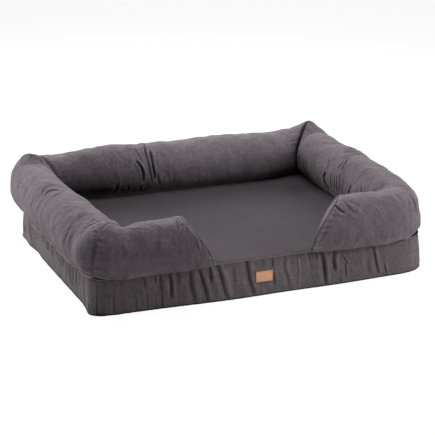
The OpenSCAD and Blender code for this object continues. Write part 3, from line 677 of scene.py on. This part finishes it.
# Broad fullness: place along the roll, half length, angle, half angle, height
SWELLS = {
    "back": [(-265, 105, 95, 60, 12), (100, 120, 150, 50, 3), (280, 110, 90, 50, -2),
             (-55, 45, 95, 50, 4.5), (-124, 14, 92, 26, 4), (165, 60, 90, 50, 2),
             (402, 50, 95, 50, -6), (-495, 32, 95, 50, 5)],
    "right": [(-210, 60, 80, 50, -6), (-90, 60, 80, 60, 6), (150, 90, 70, 50, 5), (-290, 50, 150, 60, 6)],
    "left": [(-100, 160, 50, 50, 3), (-170, 190, 114, 42, -12), (190, 120, 112, 40, -4)],
    "right_return": [(300, 60, 100, 60, -3)],
    "left_return": [(470, 45, 115, 55, -9), (360, 110, 110, 60, -6), (292, 12, 92, 30, 4)],
}
# Crumpled places: place along the roll, half length, angle, half angle, height
CRUMPLES = {
    "back": [(-120, 60, 140, 50, 3.0), (430, 60, 110, 50, 1.5), (-20, 250, 205, 22, 2.5),
             (120, 90, 120, 40, 1.5)],
    "right": [(25, 75, 155, 45, 1.3), (-105, 45, 190, 25, 1.2), (60, 60, 85, 30, 0.8),
              (200, 80, 180, 30, 1.0)],
    "left": [(-150, 95, 98, 24, 0.85), (165, 110, 96, 24, 0.75), (300, 45, 108, 26, 0.95),
             (-290, 60, 90, 40, 0.4)],
    "right_return": [(265, 50, 75, 30, 2.2), (360, 90, 100, 40, 1.6)],
    "left_return": [(440, 60, 105, 45, 2.6), (245, 40, 92, 30, 2.0)],
}
# Painted light and shade on the pile: place along the roll, half length, angle, half angle, how much
# lighter
PAINTED_SHADES = {
    "back": [(-330, 200, 211, 31, -1.3), (-330, 170, 88, 26, -0.3), (-450, 50, 100, 45, 0.35),
             (20, 260, 140, 40, 0.12), (110, 230, 140, 52, 0.42), (440, 110, 165, 52, 0.32)],
    "right": [(-100, 300, 207, 33, -1.1), (-230, 110, 160, 45, -0.25), (50, 300, 78, 34, -0.28),
              (-150, 250, 165, 30, -0.2)],
    "left": [(-200, 120, 170, 40, -0.15), (265, 80, 28, 36, -0.28)],
    "right_return": [(300, 200, 40, 40, 0.05)],
    "left_return": [(400, 200, 20, 60, -0.2)],
}
# How deep the seam draws a groove at each roll's left and right end, in mm
GROOVES = {"back": (3, 6), "right": (6, 2), "left": (3, 1), "right_return": (0, 2), "left_return": (0, 1)}
# A groove at least this deep gets painted shade too
DEEP_GROOVE = 5


def wrinkle_push(x, turn, path, depth, width):
    """A crease or a ridge along a path of x, angle, x, angle ..., with soft lips beside it."""
    path = np.reshape(path, (-1, 2)) * [1, MM_PER_DEGREE]
    for _ in range(2):
        a, b = path[:-1], path[1:]
        cut = np.stack([0.75 * a + 0.25 * b, 0.25 * a + 0.75 * b], 1).reshape(-1, 2)
        path = np.concatenate([path[:1], cut, path[-1:]])
    near = np.full(x.shape, 1e9)
    share = np.zeros(x.shape)
    place = np.stack([x, turn * MM_PER_DEGREE], -1)
    for k, (a, b) in enumerate(zip(path[:-1], path[1:])):
        t = np.clip(((place - a) @ (b - a)) / max((b - a) @ (b - a), 1e-6), 0, 1)
        away = norm(place - a - t[..., None] * (b - a), axis=-1)
        share = np.where(away < near, (k + t) / (len(path) - 1), share)
        near = np.minimum(near, away)
    off = near / width
    taper = 0.3 + 0.7 * np.sin(np.pi * np.clip(share, 0, 1)) ** 0.6
    if depth > 0:
        return depth * taper * (-crease(off) + 0.45 * bell((off - 2.0) / 1.0))
    return -depth * taper * (bell(off) - 0.35 * bell((off - 2.3) / 0.9))


def add_places(total, table, x, turn, factor=1.0, plateau=1.6):
    """Adds a table's heights to the total, each round its place."""
    for at, length, middle, half, height in table:
        near = bell((x - at) / length) * bell(np.abs((turn - middle) / half) ** plateau)
        total += factor * height * near


def crumple(name, grid, angle):
    """Adds the fibre filling's lumps, the seams' puckers and the folds to a roll's fine grid, and
    gives its pile's painted light and shade."""
    roll = ROLLS[name]
    rng = np.random.default_rng(sum(map(ord, name)))
    normal = normals_of(grid)
    normal *= np.sign((normal * (grid - grid.mean(1, keepdims=True))).sum(-1).mean())
    x, z = grid[..., 0], grid[..., 2]
    turn = np.broadcast_to(np.where(angle > 270, angle - 360, angle)[None], x.shape)
    row = roll.place(grid)
    push = 2.4 * drift(row, 170, 3) + 1.2 * drift(row, 62, 4) + 0.55 * drift(row, 26, 5)
    flat = np.stack([x / 24, turn / 45, 0 * x], -1)
    wrinkle = 0.35 - np.exp(-4 * np.abs(drift(flat, 2.2, 31)))
    fine = 0.35 - np.exp(-4 * np.abs(drift(flat * 1.9, 2.2, 32)))
    crumpled = np.full(x.shape, 0.16)
    add_places(crumpled, CRUMPLES[name], x, turn, 0.75)
    push += crumpled * (wrinkle + 0.45 * fine)
    add_places(push, SWELLS[name], x, turn)
    broad = push.copy()
    for depth, width, *path in WRINKLES[name]:
        push += wrinkle_push(x, turn, path, depth, width)
    for _ in range(9):
        at, middle = rng.uniform(x.min() + 30, x.max() - 30), rng.uniform(-50, 205)
        length, lean = rng.uniform(8, 26), rng.uniform(-0.9, 0.9)
        path = [(at + lean * k * length, middle + k * length) for k in (-1, -0.3, 0.4, 1)]
        depth = rng.uniform(0.5, 1.2) * rng.choice([-0.8, 1])
        push += wrinkle_push(x, turn, path, depth, rng.uniform(4, 8))
    push += bell((turn + 38) / 26) * (0.9 * drift(row, 55, 6) + 0.4 * drift(row, 20, 8))
    # the seams at both ends pucker the cloth, and a groove is shallower on the outside
    outside = 0.15 + 0.85 * ease((turn - 60) / 60)
    for end, groove in zip((0, -1), GROOVES[name]):
        away = from_end(grid, end)
        wave = np.zeros_like(push)
        for freq in (17, 23, 31):
            wave += np.sin(np.radians(turn) * freq + rng.uniform(0, 6.28)) / 1.7
        strength = 1.0 + 0.6 * np.sin(np.radians(turn) * 3 + rng.uniform(0, 6.28))
        height, reach = (1.5, 26.0) if end in roll.mitred else (1.7, 15.0)
        push += height * strength * wave * np.exp(-away / reach) * ease(away / 4 + 0.25)
        push -= groove * np.exp(-(away / 6) ** 1.3) * outside
        if end not in roll.mitred:
            push += 2.0 * bell((away - 9) / 8) - 1.0 * bell(away / 4)
    # towards a mitre the cloth moves in the seam's own plane, so that both rolls still meet
    for end in roll.mitred:
        ring = grid[end] - grid[end].mean(0)
        ring /= norm(ring, axis=1)[:, None]
        share = ease(from_end(grid, end) / 15)
        normal = normal * share[..., None] + ring[None] * (1 - share[..., None])
        push = push * share - GROOVES[name][end] * outside * (1 - share)
    # painted light and shade: lighter ridges and darker creases of the folds and crumples, and painted
    # shade in the crevice under the inner foot
    crevice_painted_shade = bell((turn - 234) / 27) * (turn < 262) + (turn >= 262)
    pile = (push - broad) / 5 - 1.45 * crevice_painted_shade + 0.25 * (crumpled - 0.4) * (wrinkle + 0.2) / 5
    pile = np.clip(pile, PILE_LOW, PILE_HIGH)
    add_places(pile, PAINTED_SHADES[name], x, turn % 360, plateau=1.0)
    # painted shade in the deeper seam grooves at the ends
    for end, groove in zip((0, -1), GROOVES[name]):
        if groove > DEEP_GROOVE:
            pile -= 1.3 * bell(from_end(grid, end) / 5) * bell((turn - 140) / 45)
    # the foot is sewn down, so it keeps its place there
    free = np.where(turn < 60, ease((z + 25) / 30), ease((z - 4) / 30))
    return grid + normal * (push * free)[..., None], np.clip(pile, PILE_LOW, PILE_HIGH)


def foot_line(grid):
    """The outer foot of a roll, along which it is sewn to the side strip."""
    y, z = grid[..., 1], grid[..., 2]
    outside = np.where((y > 6) & (z < 40), 0.5 * y - 0.87 * z, -1e3)
    return grid[np.arange(len(grid)), outside.argmax(1)][outside.max(1) > -30]


def smoothed(line):
    box = np.ones(9) / 9
    return np.stack([np.convolve(np.pad(line[:, k], 4, mode="edge"), box, "valid") for k in range(3)], -1)


# How far from a mitre the simulated movement fades out, and how far inside its cover the stuffing
# lies, round it and at a cut end, in mm
MITRE_FADE, STUFFING_IN, STUFFING_END = 90, 28.0, 34.0
# The radii of the seams, in mm
FOOT_SEAM, END_SEAM, TOP_SEAM, BOTTOM_SEAM = 2.1, 1.9, 2.1, 1.8

jobs, bare = [], {}
for name, roll in ROLLS.items():
    grid = bare[name] = roll.points(roll.stations(), ANGLES)
    pinned = grid[..., 2] < 3
    pinned[0] = pinned[-1] = True
    centre = [0, -CENTRE_IN, CENTRE_UP]
    rest = (grid - centre) * [1.012, 1.016, 1.016] + centre
    start = grid + RNG.normal(0, 0.25, grid.shape) * (1 - pinned)[..., None]
    jobs.append((name, start, pinned, rest))

for (name, roll), grid in zip(ROLLS.items(), simulate(jobs)):
    share = np.ones(grid.shape[:2])
    for end in roll.mitred:
        share *= ease(from_end(bare[name], end) / MITRE_FADE)
    grid = finer(bare[name] + (grid - bare[name]) * share[..., None], False)
    grid = finer(finer(grid.swapaxes(0, 1), True).swapaxes(0, 1), False)
    grid, pile = crumple(name, grid, FINE_ANGLES)
    grid[..., 2] = np.where(grid[..., 1] < -3, np.maximum(grid[..., 2], 0.3), grid[..., 2])
    node = name if "return" in name else name + "_bolster"
    obj = piece(name + "_roll", roll.place(grid), ROLL_CLOTH, node + "_cover", flip=roll.flip,
                caps=(5, 5), pile=pile)
    # the left roll's foot seam gets a far paler cloth, a painted highlight, and stops short of the corners
    line, cloth = foot_line(grid), SEAM_CLOTH_PAINTED_LIGHT
    if name == "left":
        line, cloth = line[9:-10], HEM_CLOTH_PAINTED_HIGHLIGHT
    piece(name + "_foot_seam", tube_grid(roll.place(smoothed(line)[::2]), FOOT_SEAM), cloth,
          caps=SEAM_CAPS)
    s = roll.stations()[::3]
    s = np.where(s < 0, 0.7 * s, np.where(s > 1, 1 + 0.7 * (s - 1), s))
    inner = roll.points(s, ANGLES[::3], inset=STUFFING_IN, end_inset=STUFFING_END)
    obj = piece(name + "_stuffing", roll.place(inner), FIBRE, node + "_fill", "fibre_fill",
                flip=roll.flip, caps=(12, 12))

# End panels of the returns: flat area in square metres, and the cloth of the seam round it

for name, area, cloth in (("left_return", 0.0278, SEAM_CLOTH_PAINTED_LIGHT), ("right_return", 0.0304, ROLL_CLOTH)):
    roll = ROLLS[name]
    ring = roll.points(np.array([0.0]), FINE_ANGLES, inset=1.2)[0]
    middle = ring.mean(0)
    shares = np.r_[np.linspace(1, 0.82, 7), np.linspace(0.76, 0.04, 13)]
    disc = middle + (ring - middle) * shares[:, None, None]
    disc[..., 0] -= 7.0 * (1 - shares ** 2)[:, None]
    turn = np.radians(FINE_ANGLES)[None]
    pucker = (np.sin(turn * 19 + 1) + 0.7 * np.sin(turn * 27 + 2.2)) * np.exp(-(1 - shares[:, None]) / 0.12)
    disc[..., 0] += 1.1 * pucker * ease((1 - shares[:, None]) / 0.03)
    disc[..., 2] = np.maximum(disc[..., 2], 0.3)
    obj = piece(name + "_end_panel", roll.place(disc), BAND_CLOTH_PAINTED_LIGHT, name + "_end", flip=not roll.flip,
                caps=(None, 0.3))
    thicken(obj)
    rim = ring + np.array([-1.5, 0, 0])
    rim[:, 2] = np.maximum(rim[:, 2], 1.8)
    rim[:, 0] += 0.8 * np.sin(turn[0] * 19 + 1)
    tube = tube_grid(np.r_[rim, rim[:1]], END_SEAM)
    piece(name + "_end_seam", roll.place(tube), cloth, flip=not roll.flip)

# Side strips of the mattress

# Radius of each corner of the mattress at its bottom and its top
CORNERS = {"front_left": (32, 62), "front_right": (76, 103), "back_left": (92, 132), "back_right": (70, 80)}


class Strip:
    """A gathered side strip, with x along it and y out of its edge line. u runs along it from its
    middle. lean is how far its bottom and its top stand out; corners are its left and right ones.
    folds are the drawn ones, label is where it lies flat, and swells are where it stands out
    further: place, half width, how far at the bottom and at the top."""

    def __init__(self, half, bow, place, flip, corners, lean, folds, seed, label=None, swells=()):
        self.half, self.bow, self.place, self.flip = half, bow, place, flip
        self.corners, self.lean, self.label = [CORNERS[corner] for corner in corners], lean, label
        self.drawn, self.swells = folds, swells
        rng = np.random.default_rng(seed)
        self.straight = half - CORNER
        self.reach = self.straight + CORNER * math.pi / 4
        self.small = [(rng.uniform(-self.reach, self.reach), rng.uniform(3, 7),
                       rng.uniform(0.4, 1.5) * rng.choice([-1, 1]), rng.uniform(-4, 4),
                       rng.choice([0, 1, 1, 2, 2])) for _ in range(int(half / 5))]

    def even(self, count):
        """Values of u from end to end."""
        return np.linspace(-self.reach, self.reach, count)

    def radius(self, u, z):
        """Radius of the nearer corner at height z."""
        return np.where(u < 0, *(low + (high - low) * z / TOP for low, high in self.corners))

    def along(self, u, z):
        """Where u lies along the strip at height z, in mm from its middle."""
        r = self.radius(u, z)
        flat = np.clip(u, -self.straight, self.straight)
        return flat * (self.half - r) / self.straight + (u - flat) * r / CORNER

    def calm(self, x, z):
        """0 under the label, where the cloth lies flat, and 1 away from it."""
        if self.label is None:
            return 1.0
        at, low, half_w, half_h = self.label
        near = np.maximum(np.abs(x - at) / half_w, np.abs(z - low) / half_h)
        return ease((near - 1.02) / 0.3)

    def folds(self, u, z):
        """How far the folds stand out at u and height z: the drawn ones, then the small ones."""
        x, h = self.along(u, z), z / TOP
        body = np.sin(np.pi * np.clip(h, 0, 1)) ** 0.35
        folds = np.zeros(x.shape)
        for depth, width, *path in self.drawn:
            xs, zs = np.array(sorted(zip(path[::2], path[1::2]), key=lambda p: p[1]), float).T
            off = (x - np.interp(z, zs, xs)) / width
            fade = ease((z - zs[0] + 9) / 16) * ease((zs[-1] + 9 - z) / 16) * body
            folds += depth * (0.75 * bell((off - 1.25) / 0.9) - 1.2 * crease(off / 0.6)
                              + 0.3 * bell((off + 1.7) / 1.0)) * fade
        from_top, from_bottom = (np.exp(-k / 0.3) * ease(k / 0.06) for k in (1 - h, h))
        for at, width, depth, lean, kind in self.small:
            off = (x - at - 0.3 * lean * (h - 0.5)) / width
            folds += depth * bell(off) * (body, from_top, from_bottom)[kind]
        folds *= ease((self.reach - np.abs(u)) / 8)
        return folds * self.calm(x, z)

    def out(self, u, z, folded=True):
        """How far the cloth stands out from the edge line at u and height z."""
        h = z / TOP
        ends = ease((self.reach - np.abs(u)) / 110)
        total = (self.lean[0] + (self.lean[1] - self.lean[0]) * ease(h)) * ends
        total = total + 3.0 * np.sin(np.pi * h) + self.bow * np.cos(np.pi / 2 * u / self.reach) ** 0.7
        for at, width, low, high in self.swells:
            total = total + (high + (low - high) * (1 - h) ** 2) * bell((u - at) / width)
        if not folded:
            return total
        calm = self.calm(self.along(u, z), z)
        return total * calm + (FRONT_BOW - 0.3) * (1 - calm) + self.folds(u, z)

    def grid(self, u, z, extra=0.0, folded=True):
        """Points at u (n values) and heights z (m values, or n by m), extra further out."""
        u = u[:, None]
        z = np.broadcast_to(z, (len(u), np.shape(z)[-1]))
        r = self.radius(u, z)
        x = (self.half - r) * np.clip(u / self.straight, -1, 1)
        phi = np.clip(np.abs(u) - self.straight, 0, None) / CORNER
        reach = self.out(u, z, folded) + extra
        px = x + np.sign(u) * np.sin(phi) * (r + reach)
        py = r * (np.cos(phi) - 1) + np.cos(phi) * reach
        return np.stack([px, py, z - TOP], -1)

    def line(self, count, z, extra, folded=True):
        """Points from end to end of the strip at height z."""
        return self.grid(self.even(count), np.array([z]), extra, folded)[:, 0]


# Folds of the strips, as the photo has them: depth, width, then x and height at each place
FRONT_FOLDS = [
    (1.5, 4, -590, 92, -591, 15), (2.5, 4, -537, 50, -537, 5), (2, 5, -561, 108, -561, 92),
    (2.5, 5, -508, 118, -506, 96), (2, 4, -491, 118, -492, 100), (1.6, 5, -462, 45, -461, 0),
    (3.2, 10, -438, 120, -428, 100, -428, 76), (1.5, 4, -425, 60, -425, 12), (4.5, 5, -392, 122, -390, 86),
    (1.6, 4, -396, 45, -396, 20), (5, 4.5, -371, 120, -371, 92), (3.2, 13, -374, 95, -374, 58),
    (3.2, 4.5, -373, 45, -373, 5), (5, 7, -339, 114, -338, 60, -342, 36), (3, 9, -310, 120, -311, 76),
    (2, 5, -285, 108, -285, 90), (4.5, 12, -269, 116, -270, 60, -265, 25, -265, 0),
    (4.8, 9, -241, 118, -236, 104, -228, 70, -222, 30, -220, 4), (4.8, 8, -200, 112, -199, 66),
    (6, 11, -176, 122, -165, 90, -160, 60, -158, 36, -150, 5), (1.8, 7, -118, 96, -118, 50),
    (6, 12, -70, 122, -66, 85, -65, 60, -61, 35, -55, 4), (2.2, 6, -12, 118, -12, 96),
    (2.8, 6, 24, 122, 24, 32), (2.4, 8, -34, 20, -33, 4), (1.4, 4, 3, 24, 3, 4),
    (2.8, 9, 68, 121, 63, 72, 72, 50, 76, 2), (3, 4.5, 112, 122, 112, 60, 107, 35),
    (2.4, 5, 152, 120, 158, 84), (5, 4.5, 184, 120, 184, 92), (7, 10, 202, 118, 208, 90, 207, 5),
    (5.5, 8.5, 254, 122, 250, 96, 245, 84, 246, 48), (3.2, 4, 280, 88, 290, 72, 296, 60),
    (4, 5, 286, 62, 284, 20), (2.8, 6, 262, 26, 262, 2), (4, 5, 295, 122, 295, 110),
    (1.6, 5, 335, 110, 335, 90), (1.6, 4, 342, 75, 342, 55), (1.8, 10, 369, 60, 370, 20),
    (3, 4, 388, 121, 388, 106), (4.5, 7, 400, 121, 396, 100, 399, 75, 403, 40, 408, 15),
    (3, 5, 440, 120, 440, 108), (4, 4.5, 432, 44, 436, 22, 439, 12), (1.2, 4, 489, 72, 489, 60),
    (2, 6, 556, 52, 558, 22),
]
LEFT_FOLDS = [
    (3.5, 8, -350, 66, -352, 30), (3, 13, -278, 95, -278, 40), (1.6, 8, -232, 86, -232, 60),
    (1.8, 10, -195, 74, -196, 46), (2.5, 7, -175, 26, -175, 8), (1.8, 8, -115, 96, -115, 80),
    (2.8, 8, -95, 100, -95, 74), (4.5, 8, -56, 102, -57, 62), (2.8, 9, -33, 102, -33, 60),
    (3.5, 10, 14, 102, 12, 62), (1.8, 6, 33, 40, 34, 18), (3, 8, 75, 102, 73, 64),
    (6, 8, 113, 106, 110, 80, 106, 50), (3.5, 8, 144, 104, 142, 68), (3.5, 6, 179, 100, 176, 70, 172, 40),
    (3, 6, 198, 100, 198, 46), (6, 10, 225, 106, 222, 60, 218, 30), (2.4, 7, 254, 100, 254, 55),
    (3, 8, 289, 108, 286, 52), (1.6, 7, 320, 100, 320, 62), (1.4, 7, 362, 108, 362, 84),
    (8, 6, 427, 28, 434, 4), (1.8, 5, 423, 62, 424, 30),
]
# Painted light: how much lighter each strip is
STRIP_PAINTED_LIGHT = {"front_band": 0.0, "left_band": 0.16, "right_band": 0.0}
# Where the rolls' hems lie over the strips, as (x along, height): painted shadow darkens the cloth just
# below
HEMS = {
    "front_band": [(-600, 117), (-200, 117), (-192, 150), (146, 150), (154, 117), (600, 117)],
    "left_band": [(-345, 110), (-265, 101), (-190, 99), (-130, 104), (-20, 104), (120, 104), (260, 109),
                  (350, 112)],
    "right_band": [(-300, 111), (0, 107), (250, 111)],
}

STRIPS = {
    "front_band": Strip(HALF_W, 0.0, side(0.0, -HALF_D, PLUS_X, MINUS_Y), True,
                        ("front_left", "front_right"), (10.0, -10.0), FRONT_FOLDS, 11,
                        (LABEL_X, LABEL_Z, LABEL_W / 2, LABEL_H / 2),
                        [(-120, 190, 15, 0), (235, 190, 12, 0)]),
    "left_band": Strip(HALF_D, SIDE_BOW, side(-HALF_W, 0.0, MINUS_Y, MINUS_X), True,
                       ("back_left", "front_left"), (-3.0, -1.0), LEFT_FOLDS, 12,
                       swells=[(398, 60, 12, 0), (-205, 40, -4, 0), (-290, 40, 4, 0)]),
    "right_band": Strip(HALF_D, SIDE_BOW, side(HALF_W, 0.0, MINUS_Y, PLUS_X), False,
                        ("back_right", "front_right"), (4.0, 6.0), LEFT_FOLDS, 13),
}
Z_LINES = np.r_[CLOTH, 4, np.linspace(9, 111, 22), 116, TOP - CLOTH]
for name, strip in STRIPS.items():
    u = strip.even(int(2 * strip.reach / 2.2))
    grid = strip.grid(u, Z_LINES)
    hem = np.interp(strip.along(u[:, None], Z_LINES[None]), *np.array(HEMS[name], float).T)
    # painted shadow just below the hems, painted light and shade across the folds, and painted light on the
    # left strip
    under = np.exp(-np.maximum(hem - Z_LINES, 0) / 3.5)
    pile = strip.folds(u[:, None], Z_LINES[None]) / 7.5 - 0.8 * under + STRIP_PAINTED_LIGHT[name]
    obj = piece(name + "_cloth", strip.place(grid), BAND_CLOTH_PAINTED_LIGHT, name, closed=False, flip=strip.flip,
                pile=np.clip(pile, -1.3, 1))
    thicken(obj)

# The back strip is in two halves, turned in along the zip
BACK = Strip(HALF_W, 0.0, side(0.0, HALF_D, PLUS_X, PLUS_Y), False, ("back_left", "back_right"), (0.0, 0.0),
             [], 14)
BACK.small = [(at, w, 0.5 * d, lean, max(kind, 1)) for at, w, d, lean, kind in BACK.small]
u = BACK.even(420)
gap = ZIP_HALF * ease((ZIP_WINDOW + 4 - np.abs(u)) / 7)
for name, sign, rim in (("back_band_upper", 1, TOP - CLOTH), ("back_band_lower", -1, CLOTH)):
    share = np.linspace(0, 1, 14)[None]
    edge = TOP / 2 + sign * np.maximum(gap, 0.15)[:, None]
    z = edge + (rim - edge) * share
    grid = BACK.grid(u, z)
    sides = ease((BACK.straight + 20 - np.abs(u)) / 20)[:, None]
    grid[:, :, 1] -= 3.0 * np.sin(np.pi * z / TOP) * sides
    grid[:, :, 1] += 0.9 * bell((share - 0.06) / 0.06) - 1.2 * bell(share / 0.03)
    obj = piece(name + "_cloth", BACK.place(grid[:, ::sign]), BAND_CLOTH_PAINTED_LIGHT, name, closed=False)
    thicken(obj)

# Top and bottom panels

ACROSS, ALONG = 181, 141


def coons(front, right, back, left):
    """A grid between four edges: front and back run to +X, left and right to +Y."""
    a, b = np.linspace(0, 1, len(front))[:, None, None], np.linspace(0, 1, len(left))[None, :, None]
    corners = ((1 - a) * (1 - b) * front[0] + a * (1 - b) * front[-1]
               + (1 - a) * b * back[0] + a * b * back[-1])
    return ((1 - b) * front[:, None] + b * back[:, None] + (1 - a) * left[None] + a * right[None]
            - corners)


def panel(z, extra):
    """A flat grid inside the strips' outline at height z."""
    sides = ((STRIPS["front_band"], ACROSS), (BACK, ACROSS), (STRIPS["right_band"], ALONG),
             (STRIPS["left_band"], ALONG))
    front, back, right, left = (strip.place(strip.line(count, z, extra))[:, :2] for strip, count in sides)
    right, left = right[::-1], left[::-1]
    right[0], right[-1], left[0], left[-1] = front[-1], back[-1], front[0], back[0]
    return coons(front, right, back, left)


def set_panel(name, flat, height, cloth, slot, up, pile=None):
    grid = np.concatenate([flat, height[..., None]], -1)
    obj = piece(name + "_cloth", grid, cloth, name, slot, closed=False, flip=up, pile=pile)
    thicken(obj, -1.0 if up else 0.0)


# The lying surface is puckered along the front; painted shade darkens it under the rolls, in the middle and
# on the left, and painted light lightens its front
flat = panel(TOP - 1.2, -0.6)
x, y = flat[..., 0], flat[..., 1]
a, b = np.linspace(-1, 1, ACROSS)[:, None], np.linspace(-1, 1, ALONG)[None]
edge = np.minimum((1 - np.abs(a)) * HALF_W, (1 - np.abs(b)) * HALF_D)
height = np.full(flat.shape[:2], TOP - CLOTH / 2)
bumps = drift(np.concatenate([flat, height[..., None]], -1), 150, 21)
front = (b + 1) * HALF_D
ripple = np.sin(x / 9.5 + 2 * np.sin(x / 37)) + np.sin(x / 6.1)
height = height - 5.5 * np.exp(-edge / 9) + 2.2 * ease(edge / 160)
height = height + 0.5 * bumps * ease(edge / 60)
height = height + 0.7 * ripple * np.exp(-front / 16) * ease(front / 5)
panel_painted_shading = 0.14 * ease((-b - 0.4) / 0.4) - 0.2 * bell(b / 0.6) - 0.12 * ease((-a - 0.4) / 0.4)
deep = np.minimum(np.minimum(TRACK[3] - y, TRACK[1] - x), x - TRACK[0])
panel_painted_shading = panel_painted_shading - 1.2 * ease((145 - deep) / 75)
set_panel("top_panel", flat, height, PANEL_CLOTH_PAINTED_SHADE, "cover_cloth", True,
          np.clip(panel_painted_shading, PILE_LOW, PILE_HIGH))

flat = panel(1.2, -0.6)
height = np.full(flat.shape[:2], CLOTH / 2)
set_panel("bottom_panel", flat, height, GRIP_CLOTH, "grip_cloth", False)

# Seams round the mattress: the top ones in the paler seam cloth, painting a light line, and the bottom ones
# near black, a painted shadow along the floor

for name, strip in list(STRIPS.items()) + [("back_band", BACK)]:
    for level, z, radius, cloth in (("top", TOP - 2.2, TOP_SEAM, SEAM_CLOTH_PAINTED_LIGHT),
                                    ("bottom", 2.4, BOTTOM_SEAM, FLOOR_SEAM_PAINTED_SHADOW)):
        count = int(strip.reach / 3)
        u, line = strip.even(count), strip.line(count, z, 0.4)
        line[:, 2] += 0.5 * np.sin(u / 11) * np.sin(u / 47)
        path = strip.place(line)
        path[:, 2] = np.maximum(path[:, 2], radius + 0.2)
        piece(f"{name}_{level}_seam", tube_grid(path, radius), cloth, caps=SEAM_CAPS)


# Foam slabs, with rounded edges

def slab(name, node, low, high, material, slot):
    rings = []
    for inset, z in ((22, low), (15, low + 2), (12, low + 8), (12, high - 8), (15, high - 2), (22, high)):
        ring = []
        for strip, order in ((STRIPS["front_band"], 1), (STRIPS["right_band"], -1), (BACK, -1),
                             (STRIPS["left_band"], 1)):
            edge = strip.place(strip.line(60, z, -inset, False))
            ring.append(edge[::order][:-1])
        rings.append(np.concatenate(ring))
    obj = piece(name, np.array(rings), material, node, slot, flip=True, caps=(0, 0))


slab("base_slab", "base_foam", 2.2, 81.0, FOAM_PALE, "base_foam")
slab("comfort_slab", "memory_foam", 82.0, 116.0, FOAM_BLUE, "comfort_foam")


# Stage

WHITE = (1, 1, 1)
# The floor's half width and height, in metres
FLOOR_HALF, FLOOR_Z = 20, -0.001


def seen(shader):
    """1 for the rays that show the stage, 0 for those that only carry its light."""
    rays = shader.node("ShaderNodeLightPath")
    total = rays["Is Camera Ray"]
    for kind in ("Is Glossy Ray", "Is Transmission Ray"):
        total = shader.math("MAXIMUM", total, rays[kind])
    return total


ground = new_shader("floor")
grey = ground.add("ShaderNodeBsdfDiffuse", {"Color": rgba(WHITE, 0.8)})
pale = ground.add("ShaderNodeBsdfDiffuse", {"Color": rgba(WHITE, 0.12)})
glow = ground.add("ShaderNodeEmission", {"Color": rgba(WHITE), "Strength": 0.93})
white = ground.add("ShaderNodeAddShader", {0: pale, 1: glow})
both = ground.add("ShaderNodeMixShader", {0: seen(ground), 1: grey, 2: white})
ground.node("ShaderNodeOutputMaterial", {"Surface": both})
floor_mesh = bpy.data.meshes.new("floor")
corners = [(x * FLOOR_HALF, y * FLOOR_HALF, FLOOR_Z) for x, y in ((-1, -1), (1, -1), (1, 1), (-1, 1))]
floor_mesh.from_pydata(corners, [], [(0, 1, 2, 3)])
floor_mesh.materials.append(ground.owner)
add_object("floor", floor_mesh)

sky = Shader(bpy.data.worlds.new("studio"))
scene.world = sky.owner
lit = sky.add("ShaderNodeBackground", {"Color": rgba(WHITE), "Strength": 0.02})
shown = sky.add("ShaderNodeBackground", {"Color": rgba(WHITE), "Strength": 1.0})
both = sky.add("ShaderNodeMixShader", {0: seen(sky), 1: lit, 2: shown})
sky.node("ShaderNodeOutputWorld", {"Surface": both})

area_light("overhead", (0.0, -0.2, 3.0), (2.5, 2.5), 60)
area_light("left_back", (-1.2, 2.4, 1.4), (1.2, 1.0), 84)
area_light("right_back", (2.0, 1.6, 1.6), (1.2, 1.2), 38)
area_light("left_side", (-2.8, 0.3, 0.8), (0.9, 0.9), 10)
area_light("right_front", (1.4, -1.3, 0.8), (0.7, 0.7), 14)
